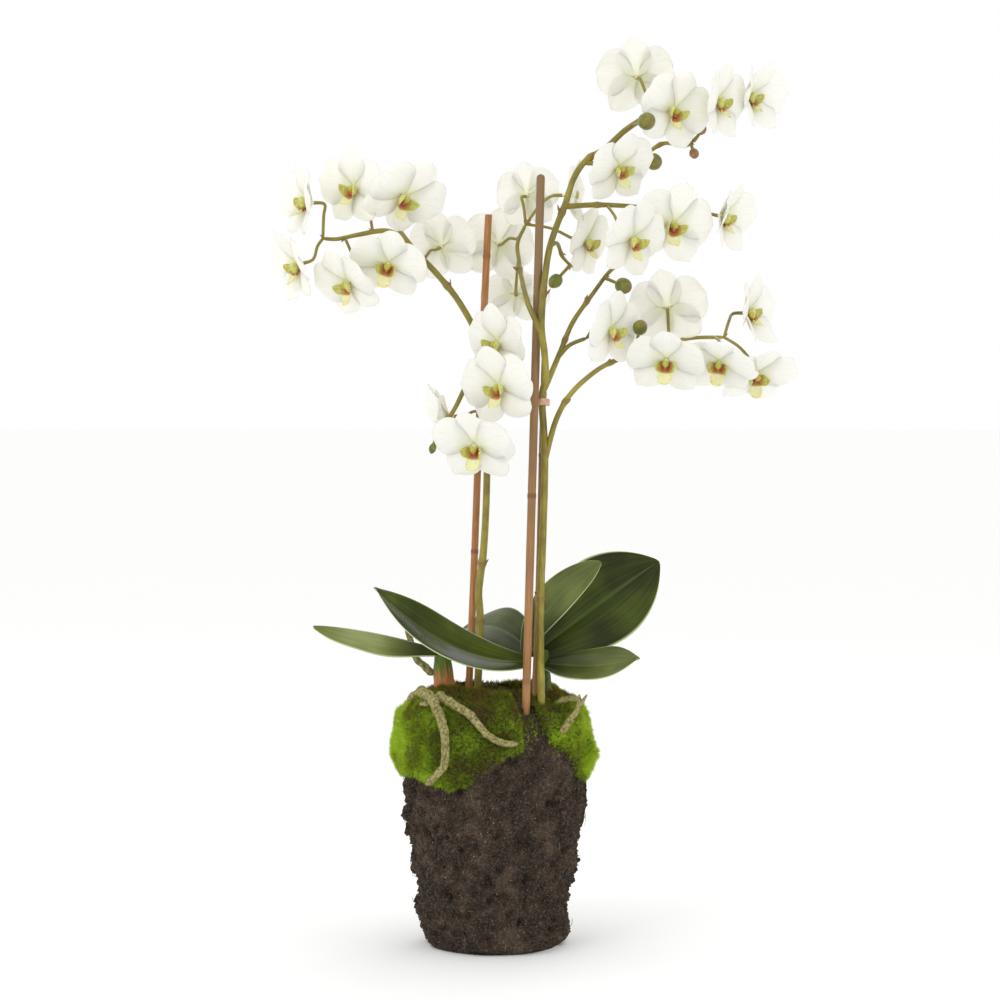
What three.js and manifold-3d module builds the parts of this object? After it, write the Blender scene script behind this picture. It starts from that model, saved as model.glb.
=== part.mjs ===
// Moth orchid on a bare, pot-shaped root ball: moss over the rim, six leaves,
// two branched flower spikes held by bamboo stakes, and thirty white flowers.
// Millimetres, +Z up. The origin is the centre of the root ball's flat foot and
// the front of the plant faces -Y.
import * as THREE from 'three';
import { mergeVertices } from 'three/addons/utils/BufferGeometryUtils.js';
import Module from 'manifold-3d';

const wasm = await Module();
wasm.setup();

// ---- driving dimensions ----------------------------------------------------

const GAP = 0.3; // left between pieces that touch

// Root ball: radius and height pairs, from the foot's centre to the top's centre.
const FOOT_RADIUS = 46;
const RIM_HEIGHT = 157;
const BALL_TOP = 178;
const BALL_PROFILE = [
  [0, 0], [FOOT_RADIUS, 0], [50, 4], [53, 25], [56, 50], [60.5, 75], [63, 100],
  [65, 130], [63, RIM_HEIGHT], [55, 167], [38, 174], [0, BALL_TOP],
];
const BALL_SEGMENTS = 28;
const MOSS_THICKNESS = 9;
const MOSS_INNER_RADIUS = 31;
const MOSS_DEPTH = 4; // how far a cushion sinks into the root ball before it is cut back
const MOSS_RIM_SHARE = 0.55; // how far across a cushion the rim lies

const SPIKE_RADIUS = 2.9;
const BRANCH_RADIUS = 2.1;
const TWIG_RADIUS = 1.3;
const PEDICEL_RADIUS = 1.1;
const SPIKE_JOINT_RADIUS = 3.7;
const SPIKE_BORE_MARGIN = 1.2; // room round a spike's foot in the soil
const PEDICEL_NECK = 7; // straight run of a pedicel behind its flower
const PEDICEL_ARCH = 2.5; // how far a pedicel arches upward

const STAKE_TALL_RADIUS = 3.2;
const STAKE_LEFT_RADIUS = 2.8;
const STAKE_SHORT_RADIUS = 1.8;
const STAKE_JOINT_SWELL = 1.2; // a joint's radius against the cane's

const LEAF_HALF_THICKNESS = 1.1;

// One flower of size 1 measures 58 mm across.
const PETAL_LENGTH = 28;
const PETAL_HALF_WIDTH = 14;
const SEPAL_LENGTH = 29;
const SEPAL_HALF_WIDTH = 9;
const LIP_REACH = 8; // how far the lip hangs below the column
const LIP_FORWARD = 8.5; // how far the lip's end stands in front of the petals
const COLUMN_FRONT = 6;
const COLUMN_BACK = 4;
const HUB_RADIUS = 4;
const WHORL_HALF_THICKNESS = 1;
const RIM_HALF_THICKNESS = 0.3;
const FLOWER_SEGMENTS = 24;
const PEDICEL_END = 4.4; // how far behind a flower's centre its pedicel ends

// ---- colours ---------------------------------------------------------------

function finish(color, roughness) {
  return new THREE.MeshStandardMaterial({ color, roughness, metalness: 0 });
}

const BARK = { color: 0x4a3c32, roughness: 0.95 };
const MOSS = { color: 0x7ea31c, roughness: 0.95 };
const CANE = { color: 0xb5764f, roughness: 0.6 };
const TIE = { color: 0xd9b39b, roughness: 0.6 };
const CROWN = { color: 0x5b7034, roughness: 0.5 };
const LEAF = { color: 0x2f4a22, roughness: 0.3 };
const ROOT = { color: 0x8d8a66, roughness: 0.8 };
const STEM = { color: 0x8a8f2e, roughness: 0.5 };
const BUD = { color: 0x74803a, roughness: 0.5 };
const PETAL = { color: 0xf6f4e6, roughness: 0.5 };

// ---- solids ----------------------------------------------------------------

function solid(geometry) {
  const bare = geometry.clone();
  bare.deleteAttribute('normal');
  bare.deleteAttribute('uv');
  const merged = mergeVertices(bare, 1e-4);
  return new wasm.Manifold(new wasm.Mesh({
    numProp: 3,
    vertProperties: new Float32Array(merged.attributes.position.array),
    triVerts: new Uint32Array(merged.index.array),
  }));
}

// The largest closed skin of a body, without loose chips or sealed pockets.
function mainBody(body) {
  return body.decompose().reduce((best, part) => (part.volume() > best.volume() ? part : best));
}

function join(pieces) {
  return mainBody(pieces.reduce((whole, piece) => whole.add(piece)));
}

function cut(whole, tools) {
  return mainBody(tools.reduce((rest, tool) => rest.subtract(tool), whole));
}

function surfaceOf(body) {
  const mesh = body.getMesh();
  const geometry = new THREE.BufferGeometry();
  geometry.setAttribute('position', new THREE.BufferAttribute(mesh.vertProperties, 3));
  geometry.setIndex(new THREE.BufferAttribute(mesh.triVerts, 1));
  geometry.computeVertexNormals();
  return geometry;
}

const orchid = new THREE.Group();

function addPiece(name, body, { color, roughness }) {
  const mesh = new THREE.Mesh(surfaceOf(body), finish(color, roughness));
  mesh.name = name;
  orchid.add(mesh);
}

// ---- shapes ----------------------------------------------------------------

const vector = ([x, y, z]) => new THREE.Vector3(x, y, z);
const radians = THREE.MathUtils.degToRad;

function polygon(sides, radius) {
  const corners = [];
  for (let i = 0; i < sides; i += 1) {
    const angle = (2 * Math.PI * i) / sides;
    corners.push(new THREE.Vector2(radius * Math.cos(angle), radius * Math.sin(angle)));
  }
  return new THREE.Shape(corners);
}

// A round limb along a smooth curve, tapering evenly from its start to its end.
function limb(curve, startRadius, endRadius, { steps, sides = 6 }) {
  const geometry = new THREE.ExtrudeGeometry(polygon(sides, 1), {
    steps,
    bevelEnabled: false,
    extrudePath: curve,
  });
  const centres = curve.getSpacedPoints(steps);
  const position = geometry.attributes.position;
  const point = new THREE.Vector3();
  for (let i = 0; i < position.count; i += 1) {
    point.fromBufferAttribute(position, i);
    let ring = 0;
    centres.forEach((centre, k) => {
      const miss = Math.abs(point.distanceTo(centre) - 1);
      if (miss < Math.abs(point.distanceTo(centres[ring]) - 1)) {
        ring = k;
      }
    });
    const radius = THREE.MathUtils.lerp(startRadius, endRadius, ring / steps);
    point.sub(centres[ring]).multiplyScalar(radius).add(centres[ring]);
    position.setXYZ(i, point.x, point.y, point.z);
  }
  return solid(geometry);
}

function curveThrough(points) {
  return new THREE.CatmullRomCurve3(points.map(vector), false, 'catmullrom', 0.5);
}

function knob(centre, radii, detail = 0) {
  const geometry = new THREE.IcosahedronGeometry(1, detail);
  geometry.scale(...radii);
  geometry.translate(...centre);
  return solid(geometry);
}

// A flat section swept over its length; place() moves each point (across, through,
// along), with along running from 0 to 1.
function sweep(section, steps, place) {
  const shape = new THREE.Shape(section.map(([x, y]) => new THREE.Vector2(x, y)));
  const geometry = new THREE.ExtrudeGeometry(shape, { depth: 1, steps, bevelEnabled: false });
  const position = geometry.attributes.position;
  const point = new THREE.Vector3();
  for (let i = 0; i < position.count; i += 1) {
    point.fromBufferAttribute(position, i);
    const moved = place(point.x, point.y, point.z);
    position.setXYZ(i, moved.x, moved.y, moved.z);
  }
  return solid(geometry);
}

// ---- root ball and moss ----------------------------------------------------

// Angles run from the front (-Y) towards the right (+X).
function around(angle, radius, height) {
  return new THREE.Vector3(radius * Math.sin(angle), -radius * Math.cos(angle), height);
}

function lumps(angle, height) {
  const broad = Math.sin(3 * angle + height / 31 + 0.6) + Math.sin(5 * angle - height / 19);
  const fine = Math.sin(9 * angle + height / 7) + Math.sin(13 * angle - height / 11 + 2);
  return 0.9 * broad + 0.5 * fine;
}

function ballRadius(height) {
  const upper = BALL_PROFILE.findIndex(([, z]) => z >= height && z > 0);
  const [r0, z0] = BALL_PROFILE[upper - 1];
  const [r1, z1] = BALL_PROFILE[upper];
  return THREE.MathUtils.mapLinear(height, z0, z1, r0, r1);
}

function rootBall(extra) {
  const profile = BALL_PROFILE.map(([r, z]) => new THREE.Vector2(r, z));
  const geometry = new THREE.LatheGeometry(profile, BALL_SEGMENTS);
  const position = geometry.attributes.position;
  for (let i = 0; i < position.count; i += 1) {
    const height = position.getY(i);
    const radius = Math.hypot(position.getX(i), position.getZ(i));
    const angle = Math.atan2(position.getX(i), position.getZ(i));
    const rough = height > 0 && radius > 1 ? lumps(angle, height) : 0;
    const grown = radius > 1 ? radius + rough + extra : 0;
    const top = height > RIM_HEIGHT ? extra : 0;
    const base = height > 0 ? height + top : -extra;
    const point = around(angle, grown, base);
    position.setXYZ(i, point.x, point.y, point.z);
  }
  return solid(geometry);
}

// A cushion of moss laid over the rim, between two angles. lowerEdge(angle) is
// the height of its lower border on the wall.
function mossCushion(startAngle, endAngle, lowerEdge, steps) {
  const across = [0, 0.2, 0.42, 0.6, 0.8, 1];
  const section = [
    ...across.map((u) => [u, 0]),
    ...across.slice().reverse().map((u) => [u, 1]),
  ];
  return sweep(section, steps, (u, v, t) => {
    const angle = THREE.MathUtils.lerp(startAngle, endAngle, t);
    const wall = Math.min(1, u / MOSS_RIM_SHARE);
    const inward = Math.max(0, (u - MOSS_RIM_SHARE) / (1 - MOSS_RIM_SHARE));
    const height = THREE.MathUtils.lerp(lowerEdge(angle), RIM_HEIGHT, wall);
    const wallRadius = ballRadius(height) + lumps(angle, height);
    const radius = THREE.MathUtils.lerp(wallRadius, MOSS_INNER_RADIUS, inward);
    const lean = radians(90 * THREE.MathUtils.smoothstep(u, 0.35, 0.75));
    const ends = Math.sqrt(Math.sin(Math.PI * THREE.MathUtils.lerp(0.03, 0.97, t)));
    const swell = Math.pow(Math.sin(Math.PI * THREE.MathUtils.lerp(0.08, 0.9, u)), 0.6);
    const tufts = 1 + 0.14 * Math.sin(11 * angle + 5 * u) + 0.1 * Math.sin(19 * angle - 9 * u);
    const lift = v > 0.5 ? MOSS_THICKNESS * ends * swell * tufts : -MOSS_DEPTH;
    const raised = height + (BALL_TOP - RIM_HEIGHT) * Math.sqrt(inward);
    return around(angle, radius + lift * Math.cos(lean), raised + lift * Math.sin(lean));
  });
}

const leftMossEdge = (angle) => 124 + 18 * THREE.MathUtils.smoothstep(angle, -0.5, 0.2)
  + 4 * Math.sin(4 * angle);
const rightMossEdge = (angle) => 152 - 30 * THREE.MathUtils.smoothstep(angle, 0.75, 1.25)
  + 3 * Math.sin(5 * angle);

// ---- stakes ----------------------------------------------------------------

// A cane between two points with rings where its joints were.
function stake({ foot, top, radius, joints }, extra = 0) {
  const start = vector(foot);
  const lengthwise = vector(top).sub(start);
  const length = lengthwise.length();
  const wall = radius + extra;
  const profile = [[0, 0], [wall, 0]];
  joints.forEach((along) => {
    const middle = along * length;
    const swollen = wall * STAKE_JOINT_SWELL;
    profile.push([wall, middle - 2 * radius], [swollen, middle], [wall, middle + 2 * radius]);
  });
  profile.push([wall, length], [0, length]);
  const geometry = new THREE.LatheGeometry(profile.map(([r, h]) => new THREE.Vector2(r, h)), 8);
  const upright = new THREE.Vector3(0, 1, 0);
  geometry.applyQuaternion(new THREE.Quaternion().setFromUnitVectors(upright, lengthwise.normalize()));
  geometry.translate(start.x, start.y, start.z);
  return solid(geometry);
}

const STAKES = {
  stake_tall: {
    foot: [20.5, -42, 100], top: [33, -42, 551], radius: STAKE_TALL_RADIUS, joints: [0.21, 0.5, 0.78],
  },
  stake_left: {
    foot: [-22, 3, 100], top: [-4, 14, 527], radius: STAKE_LEFT_RADIUS, joints: [0.28, 0.43, 0.66, 0.93],
  },
  stake_short: {
    foot: [27, -31, 120], top: [36, -27, 432], radius: STAKE_SHORT_RADIUS, joints: [0.4, 0.75],
  },
};

// ---- leaves ----------------------------------------------------------------

// A blade whose half widths lie either side of its midrib. roll turns it about
// the midrib and fold lifts both halves into a channel.
function leafBody({ base, bend, tip, halfWidth, roll, fold }, steps = 9) {
  const midrib = new THREE.QuadraticBezierCurve3(vector(base), vector(bend), vector(tip));
  const section = [
    [-1, 0], [-0.55, -1], [0, -1.6], [0.55, -1], [1, 0], [0.55, 1], [0, 1], [-0.55, 1],
  ];
  const up = new THREE.Vector3(0, 0, 1);
  return sweep(section, steps, (x, y, t) => {
    const centre = midrib.getPointAt(t);
    const along = midrib.getTangentAt(t);
    const side = new THREE.Vector3().crossVectors(up, along).normalize();
    side.applyAxisAngle(along, radians(roll));
    const normal = new THREE.Vector3().crossVectors(along, side).normalize();
    const spread = Math.pow(Math.sin(Math.PI * (0.06 + 0.9 * Math.pow(t, 1.15))), 0.8);
    const reach = halfWidth * spread;
    const thick = LEAF_HALF_THICKNESS * (1.5 - 0.8 * t);
    return centre
      .addScaledVector(side, x * reach * Math.cos(radians(fold)))
      .addScaledVector(normal, Math.abs(x) * reach * Math.sin(radians(fold)) + y * thick);
  });
}

const LEAVES = {
  leaf_far_left: {
    base: [-40, -4, 212], bend: [-86, -8, 228], tip: [-129, -24, 232], halfWidth: 19, roll: -12, fold: -38,
  },
  leaf_front_left: {
    base: [26, -22, 206], bend: [-32, -42, 204], tip: [-84, -58, 262], halfWidth: 21, roll: -42, fold: 14,
  },
  leaf_back: {
    base: [28, 2, 208], bend: [6, 40, 234], tip: [-24, 92, 220], halfWidth: 20, roll: -36, fold: 10,
  },
  leaf_big_right: {
    base: [30, -4, 211], bend: [81, 8, 251], tip: [120, 16, 276], halfWidth: 33, roll: 70, fold: 8,
  },
  leaf_inner_right: {
    base: [23, -17, 213], bend: [30, -14, 243], tip: [77, -12, 277], halfWidth: 15, roll: 58, fold: 20,
  },
  leaf_low_right: {
    base: [37, -18, 204], bend: [73, -36, 200], tip: [103, -46, 211], halfWidth: 22, roll: 28, fold: 8,
  },
};

// ---- crowns and roots ------------------------------------------------------

function crown({ foot, top, radius, waist }) {
  const curve = new THREE.CatmullRomCurve3([
    vector(foot),
    vector(foot).lerp(vector(top), 0.5),
    vector(top),
  ]);
  return limb(curve, radius, waist, { steps: 3, sides: 10 });
}

const CROWNS = {
  crown_left: { foot: [-33, -2, 160], top: [-38, -3, 214], radius: 9, waist: 7 },
  crown_right: { foot: [34, -15, 160], top: [34, -13, 214], radius: 9, waist: 6 },
};

// Aerial roots: thick, knobbly and a little crooked.
const ROOTS = {
  root_front_left: {
    route: [
      [-53, -42, 189], [-43, -53, 182], [-36, -66, 167], [-34, -71, 152], [-35, -72.5, 138],
      [-47, -66, 124],
    ],
    start: 3.6, end: 2.3, head: 4.8,
  },
  root_front_right: {
    route: [[-40, -45, 185], [-26, -57, 178], [-14, -66, 170], [-5, -70, 160], [7, -71, 154], [17, -71, 154]],
    start: 3.5, end: 2.2,
  },
  root_up_left: {
    route: [[-44, 3, 195], [-56, 11, 205], [-61, 12, 220], [-67, 9, 240], [-73, 6, 253]],
    start: 3, end: 1.4,
  },
  root_right: {
    route: [[42, -26, 174], [50, -30, 180], [60, -32, 181]],
    start: 2.6, end: 2,
  },
  root_fork: {
    route: [[47, -66, 160], [54, -64, 170], [59, -62, 178], [60, -61, 187]],
    start: 2.8, end: 1.2,
    fork: [[57, -62.5, 175], [62, -61, 182], [65, -61, 187]],
  },
};

function aerialRoot({ route, start, end, head, fork }, extra = 0) {
  const curve = curveThrough(route);
  const steps = Math.ceil(route.length * 1.5);
  const pieces = [limb(curve, start + extra, end + extra, { steps })];
  if (head) {
    pieces.push(knob(route[0], Array(3).fill(head + extra)));
  }
  if (fork) {
    pieces.push(limb(curveThrough(fork), end + 0.5 + extra, end + extra, { steps: 3 }));
  }
  return join(pieces);
}

// ---- flowers ---------------------------------------------------------------

// at: centre of the column; facing: degrees to the right of straight ahead and
// degrees upward; roll: degrees clockwise; size: 1 is 58 mm across; cup: how far
// the petals lean forward, in degrees.
const FLOWERS = {
  flower_L1: { at: [-131, -22, 533], facing: [-68, 4], roll: 0, size: 0.96, cup: 24, spike: 'left' },
  flower_L2: { at: [-99, -20, 543], facing: [-38, -6], roll: 6, size: 0.96, cup: 12, spike: 'left' },
  flower_L3: { at: [-63, -30, 537], facing: [24, -38], roll: 30, size: 1.05, cup: 8, spike: 'left' },
  flower_L4: { at: [-38, 8, 503], facing: [158, 12], roll: 10, size: 0.9, cup: 14, spike: 'left' },
  flower_L5: { at: [-138, -26, 489], facing: [-64, -20], roll: 0, size: 0.94, cup: 22, spike: 'left' },
  flower_L6: { at: [-103, -34, 476], facing: [-42, -34], roll: -10, size: 0.96, cup: 10, spike: 'left' },
  flower_L7: { at: [-74, -40, 489], facing: [-20, -40], roll: 20, size: 0.98, cup: 10, spike: 'left' },
  flower_F1: { at: [3, -30, 433], facing: [-48, -10], roll: 8, size: 1, cup: 10, spike: 'left' },
  flower_F2: { at: [4, -56, 402], facing: [-34, -14], roll: -6, size: 1.02, cup: 10, spike: 'left' },
  flower_F3: { at: [-13, -66, 361], facing: [-24, -36], roll: 4, size: 1.02, cup: 6, spike: 'left' },
  flower_F4: { at: [-31, -20, 381], facing: [-82, -6], roll: 12, size: 0.86, cup: 30, spike: 'left' },
  flower_C1: { at: [24, 26, 541], facing: [158, 8], roll: 4, size: 0.86, cup: 8, spike: 'right' },
  flower_C2: { at: [3, 38, 506], facing: [196, -4], roll: -10, size: 0.96, cup: 10, spike: 'right' },
  flower_C3: { at: [16, 42, 470], facing: [180, -30], roll: 0, size: 0.86, cup: 12, spike: 'right' },
  flower_C4: { at: [52, 14, 541], facing: [84, 4], roll: 0, size: 0.86, cup: 28, spike: 'right' },
  flower_C5: { at: [66, 20, 508], facing: [60, -14], roll: 0, size: 0.92, cup: 10, spike: 'right' },
  flower_T1: { at: [103, 10, 625], facing: [190, 14], roll: 6, size: 0.98, cup: 10, spike: 'right' },
  flower_T2: { at: [127, -26, 598], facing: [30, -18], roll: 14, size: 1, cup: 12, spike: 'right' },
  flower_T3: { at: [158, -18, 605], facing: [58, -8], roll: 0, size: 0.96, cup: 22, spike: 'right' },
  flower_T4: { at: [184, 18, 612], facing: [54, -6], roll: 0, size: 0.92, cup: 34, spike: 'right' },
  flower_M1: { at: [88, -34, 557], facing: [40, -26], roll: -8, size: 0.96, cup: 12, spike: 'right' },
  flower_M2: { at: [97, -50, 506], facing: [44, -24], roll: 6, size: 1, cup: 10, spike: 'right' },
  flower_M3: { at: [127, -22, 518], facing: [18, -22], roll: 12, size: 1.04, cup: 6, spike: 'right' },
  flower_M4: { at: [164, 6, 525], facing: [64, -14], roll: 0, size: 0.9, cup: 28, spike: 'right' },
  flower_R1: { at: [82, -45, 442], facing: [48, -12], roll: 0, size: 0.96, cup: 12, spike: 'right' },
  flower_R2: { at: [124, -14, 458], facing: [176, 8], roll: 8, size: 0.97, cup: 6, spike: 'right' },
  flower_R3: { at: [121, -48, 421], facing: [-12, -42], roll: 8, size: 0.98, cup: 12, spike: 'right' },
  flower_R4: { at: [159, -40, 420], facing: [-22, -52], roll: 14, size: 0.96, cup: 14, spike: 'right' },
  flower_R5: { at: [187, -16, 412], facing: [22, -50], roll: 0, size: 0.98, cup: 12, spike: 'right' },
  flower_R6: { at: [183, 14, 456], facing: [60, 2], roll: 0, size: 0.92, cup: 28, spike: 'right' },
};

function facingVector([right, up]) {
  const level = Math.cos(radians(up));
  return new THREE.Vector3(
    level * Math.sin(radians(right)),
    -level * Math.cos(radians(right)),
    Math.sin(radians(up)),
  );
}

// Local +Z faces forward, +Y is up and +X is the flower's own left.
function flowerFrame({ at, facing, roll, size }) {
  const forward = facingVector(facing);
  const side = new THREE.Vector3(0, 0, 1).cross(forward).normalize();
  const top = new THREE.Vector3().crossVectors(forward, side);
  const frame = new THREE.Matrix4().makeBasis(side, top, forward);
  frame.multiply(new THREE.Matrix4().makeRotationZ(radians(-roll)));
  frame.scale(new THREE.Vector3(size, size, size));
  return frame.premultiply(new THREE.Matrix4().makeTranslation(...at));
}

// The five tepals as [direction from the top in degrees, length, half width].
const TEPALS = [
  [0, SEPAL_LENGTH, SEPAL_HALF_WIDTH],
  [76, PETAL_LENGTH, PETAL_HALF_WIDTH],
  [138, SEPAL_LENGTH, SEPAL_HALF_WIDTH],
  [-138, SEPAL_LENGTH, SEPAL_HALF_WIDTH],
  [-76, PETAL_LENGTH, PETAL_HALF_WIDTH],
];

// Distance from the middle to the flower's outline. Each tepal is an ellipse that
// starts at the middle.
function outlineRadius(angle) {
  return TEPALS.reduce((reach, [direction, length, halfWidth]) => {
    const off = angle - radians(direction);
    const along = Math.cos(off);
    if (along <= 0) {
      return reach;
    }
    const slender = length / 2 / halfWidth;
    const across = slender * Math.sin(off);
    return Math.max(reach, (length * along) / (along * along + across * across));
  }, HUB_RADIUS);
}

// Half the width of the lip, as an angle to either side of straight down.
const LIP_SPREAD = radians(32);

// A flower is one body of revolution whose rings are pulled into shape, from the
// pedicel's end forward: the hub's back, the tepals' thin rim, the hub's front, the
// lip with the column above it, and the column's tip.
function flower(spec) {
  const frame = flowerFrame(spec);
  const slope = Math.tan(radians(spec.cup));
  const rings = [
    () => [0, -COLUMN_BACK],
    () => [HUB_RADIUS * 0.8, -WHORL_HALF_THICKNESS],
    (angle) => [outlineRadius(angle), outlineRadius(angle) * slope - RIM_HALF_THICKNESS],
    (angle) => [outlineRadius(angle), outlineRadius(angle) * slope + RIM_HALF_THICKNESS],
    () => [HUB_RADIUS * 0.8, WHORL_HALF_THICKNESS + HUB_RADIUS * slope],
    (angle) => (Math.PI - Math.abs(angle) < LIP_SPREAD ? [LIP_REACH, LIP_FORWARD] : [2.4, 4.4]),
    () => [0, COLUMN_FRONT],
  ];
  const profile = rings.map((ring, k) => new THREE.Vector2(k % 6 ? 1 : 0, k));
  const body = new THREE.LatheGeometry(profile, FLOWER_SEGMENTS);
  const position = body.attributes.position;
  for (let i = 0; i < position.count; i += 1) {
    const level = Math.round(position.getY(i));
    const angle = Math.atan2(position.getX(i), position.getZ(i));
    const [reach, forward] = rings[level](angle);
    position.setXYZ(i, -reach * Math.sin(angle), reach * Math.cos(angle), forward);
  }
  body.applyMatrix4(frame);
  return solid(body);
}

// ---- spikes ----------------------------------------------------------------

const SPIKES = {
  left: {
    branches: [
      {
        route: [
          [-13, 0, 160], [-10, 0, 228], [-11, -1, 255], [-8, -1, 280], [-6, -3, 310], [-5, -5, 350],
          [-6, -6, 390], [-10, -6, 432], [-23, -8, 460], [-39, -10, 481], [-57, -10, 500], [-68, -9, 514],
        ],
        start: SPIKE_RADIUS, end: BRANCH_RADIUS, steps: 22,
      },
      {
        route: [[-64, -9, 509], [-78, -7, 514], [-98, -7, 511], [-112, -9, 508], [-122, -14, 508]],
        start: BRANCH_RADIUS, end: TWIG_RADIUS, steps: 6,
      },
      {
        route: [
          [-6, -6, 396], [-12, -16, 408], [-19, -27, 404], [-27, -40, 388], [-36, -48, 373],
          [-43, -50, 361],
        ],
        start: BRANCH_RADIUS, end: TWIG_RADIUS, steps: 8,
      },
    ],
    joints: [[0, 0.31], [0, 0.86]],
    buds: [{ at: [-43, -50, 359], radii: [2.6, 2.6, 3.6] }],
  },
  right: {
    branches: [
      {
        route: [
          [34, -36, 158], [33, -35, 209], [33, -35, 251], [35, -35, 308], [36, -35, 356], [34, -35, 393],
          [36.5, -41, 409], [35.5, -48, 426], [33.5, -50, 442], [34, -50.5, 460], [36, -45, 480],
          [39, -34, 499], [44, -26, 515],
          [51, -22, 533], [57, -17, 551], [66, -12, 564], [80, -8, 573], [93, -6, 585], [106, -4, 594],
        ],
        start: SPIKE_RADIUS, end: BRANCH_RADIUS, steps: 30,
      },
      {
        route: [[104, -4, 593], [120, -2, 598], [140, 0, 601], [158, 4, 605]],
        start: BRANCH_RADIUS, end: TWIG_RADIUS, steps: 4,
      },
      {
        route: [
          [33, -50, 440], [28, -51.5, 451], [23.5, -44, 462], [20, -22, 478], [18, 2, 493],
          [17, 9, 506], [23, 14, 520],
        ],
        start: BRANCH_RADIUS, end: TWIG_RADIUS, steps: 11,
      },
      {
        route: [[64, -13, 562], [86, -6, 562], [107, 0, 569], [122, 1, 577], [136, 0, 575], [143, -2, 578]],
        start: BRANCH_RADIUS - 0.3, end: TWIG_RADIUS, steps: 8,
      },
      {
        route: [[49, -23, 530], [74, -14, 532], [104, -6, 531], [134, -2, 527]],
        start: BRANCH_RADIUS, end: TWIG_RADIUS, steps: 8,
      },
      {
        route: [
          [34, -34, 397], [39, -33, 408], [47, -28, 427], [56, -21, 448], [70, -14, 468],
          [84, -8, 486], [98, -8, 494],
        ],
        start: BRANCH_RADIUS, end: TWIG_RADIUS, steps: 9,
      },
      {
        route: [[46, -29, 424], [54, -27, 432], [66, -25, 437]],
        start: TWIG_RADIUS + 0.4, end: TWIG_RADIUS, steps: 4,
      },
      {
        route: [
          [36, -35, 350], [44, -36, 379], [55, -34, 398], [73, -30, 414], [89, -25, 422],
          [110, -16, 430], [140, -9, 437], [165, -5, 438],
        ],
        start: BRANCH_RADIUS, end: TWIG_RADIUS, steps: 10,
      },
      {
        route: [[40, -32, 502], [45, -22, 504], [49, -14, 495], [56, -8, 488]],
        start: TWIG_RADIUS + 0.3, end: TWIG_RADIUS - 0.2, steps: 4,
      },
    ],
    joints: [[0, 0.2], [0, 0.42], [0, 0.66]],
    buds: [],
  },
};

// Buds that stand on the right spike, each on a short stalk.
const BUDS = {
  bud_top_1: { at: [107, -47, 588], radii: [6.2, 6.2, 7] },
  bud_top_2: { at: [134, -12, 585], radii: [4.6, 4.6, 5.2] },
  bud_top_3: { at: [114, -10, 563], radii: [6, 6, 6.4] },
  bud_top_4: { at: [143, -8, 569], radii: [3.5, 3.5, 4] },
  bud_top_5: { at: [149, -3, 586], radii: [2.9, 2.9, 3.6] },
  bud_back: { at: [44, -10, 478], radii: [4.8, 4.8, 5.4] },
  bud_middle: { at: [92, -22, 474], radii: [5.8, 5.8, 6.2] },
  bud_lower: { at: [103, -40, 444], radii: [5.2, 5.2, 5.8] },
};

function nearestOnBranches(curves, target) {
  let best = null;
  curves.forEach((curve) => {
    curve.getSpacedPoints(60).forEach((point) => {
      if (!best || point.distanceTo(target) < best.distanceTo(target)) {
        best = point;
      }
    });
  });
  return best;
}

// A stalk from the nearest branch to the back of a flower or bud.
function stalk(curves, centre, forward, endDistance) {
  const end = centre.clone().addScaledVector(forward, -endDistance);
  const neck = centre.clone().addScaledVector(forward, -endDistance - PEDICEL_NECK);
  const start = nearestOnBranches(curves, neck);
  const middle = start.clone().lerp(neck, 0.55).add(new THREE.Vector3(0, 0, PEDICEL_ARCH));
  const curve = new THREE.CatmullRomCurve3([start, middle, neck, end], false, 'centripetal');
  return limb(curve, PEDICEL_RADIUS, PEDICEL_RADIUS, { steps: 3, sides: 4 });
}

function spike(name) {
  const { branches, joints, buds } = SPIKES[name];
  const curves = branches.map(({ route }) => curveThrough(route));
  const pieces = branches.map(({ start, end, steps }, k) => limb(curves[k], start, end, { steps }));
  joints.forEach(([branch, along]) => {
    const centre = curves[branch].getPointAt(along).toArray();
    pieces.push(knob(centre, [SPIKE_JOINT_RADIUS, SPIKE_JOINT_RADIUS, SPIKE_JOINT_RADIUS + 1]));
  });
  buds.forEach(({ at, radii }) => pieces.push(knob(at, radii)));
  Object.values(FLOWERS).filter((spec) => spec.spike === name).forEach((spec) => {
    const forward = facingVector(spec.facing);
    pieces.push(stalk(curves, vector(spec.at), forward, PEDICEL_END * spec.size));
  });
  if (name === 'right') {
    Object.values(BUDS).forEach(({ at, radii }) => {
      const centre = vector(at);
      const root = nearestOnBranches(curves, centre);
      const outward = centre.clone().sub(root).normalize();
      const end = centre.clone().addScaledVector(outward, -(radii[0] + GAP));
      pieces.push(limb(new THREE.LineCurve3(root, end), TWIG_RADIUS, PEDICEL_RADIUS, { steps: 1, sides: 5 }));
    });
  }
  return join(pieces);
}

// ---- tie -------------------------------------------------------------------

// A soft band round the right spike and the short stake.
function tie({ centre, reach, halfWidth, height, wall, turn }) {
  const outline = (grow) => {
    const shape = new THREE.Shape();
    shape.absarc(reach, 0, halfWidth + grow, -Math.PI / 2, Math.PI / 2, false);
    shape.absarc(-reach, 0, halfWidth + grow, Math.PI / 2, 1.5 * Math.PI, false);
    return shape;
  };
  const band = outline(wall);
  band.holes.push(outline(0));
  const geometry = new THREE.ExtrudeGeometry(band, { depth: height, bevelEnabled: false, curveSegments: 4 });
  geometry.rotateZ(turn);
  geometry.translate(...centre);
  return solid(geometry);
}

const TIE_BAND = {
  centre: [34.2, -30.8, 389], reach: 3.4, halfWidth: 3.9, height: 5, wall: 1.1, turn: radians(82),
};

// ---- assembly --------------------------------------------------------------

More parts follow.
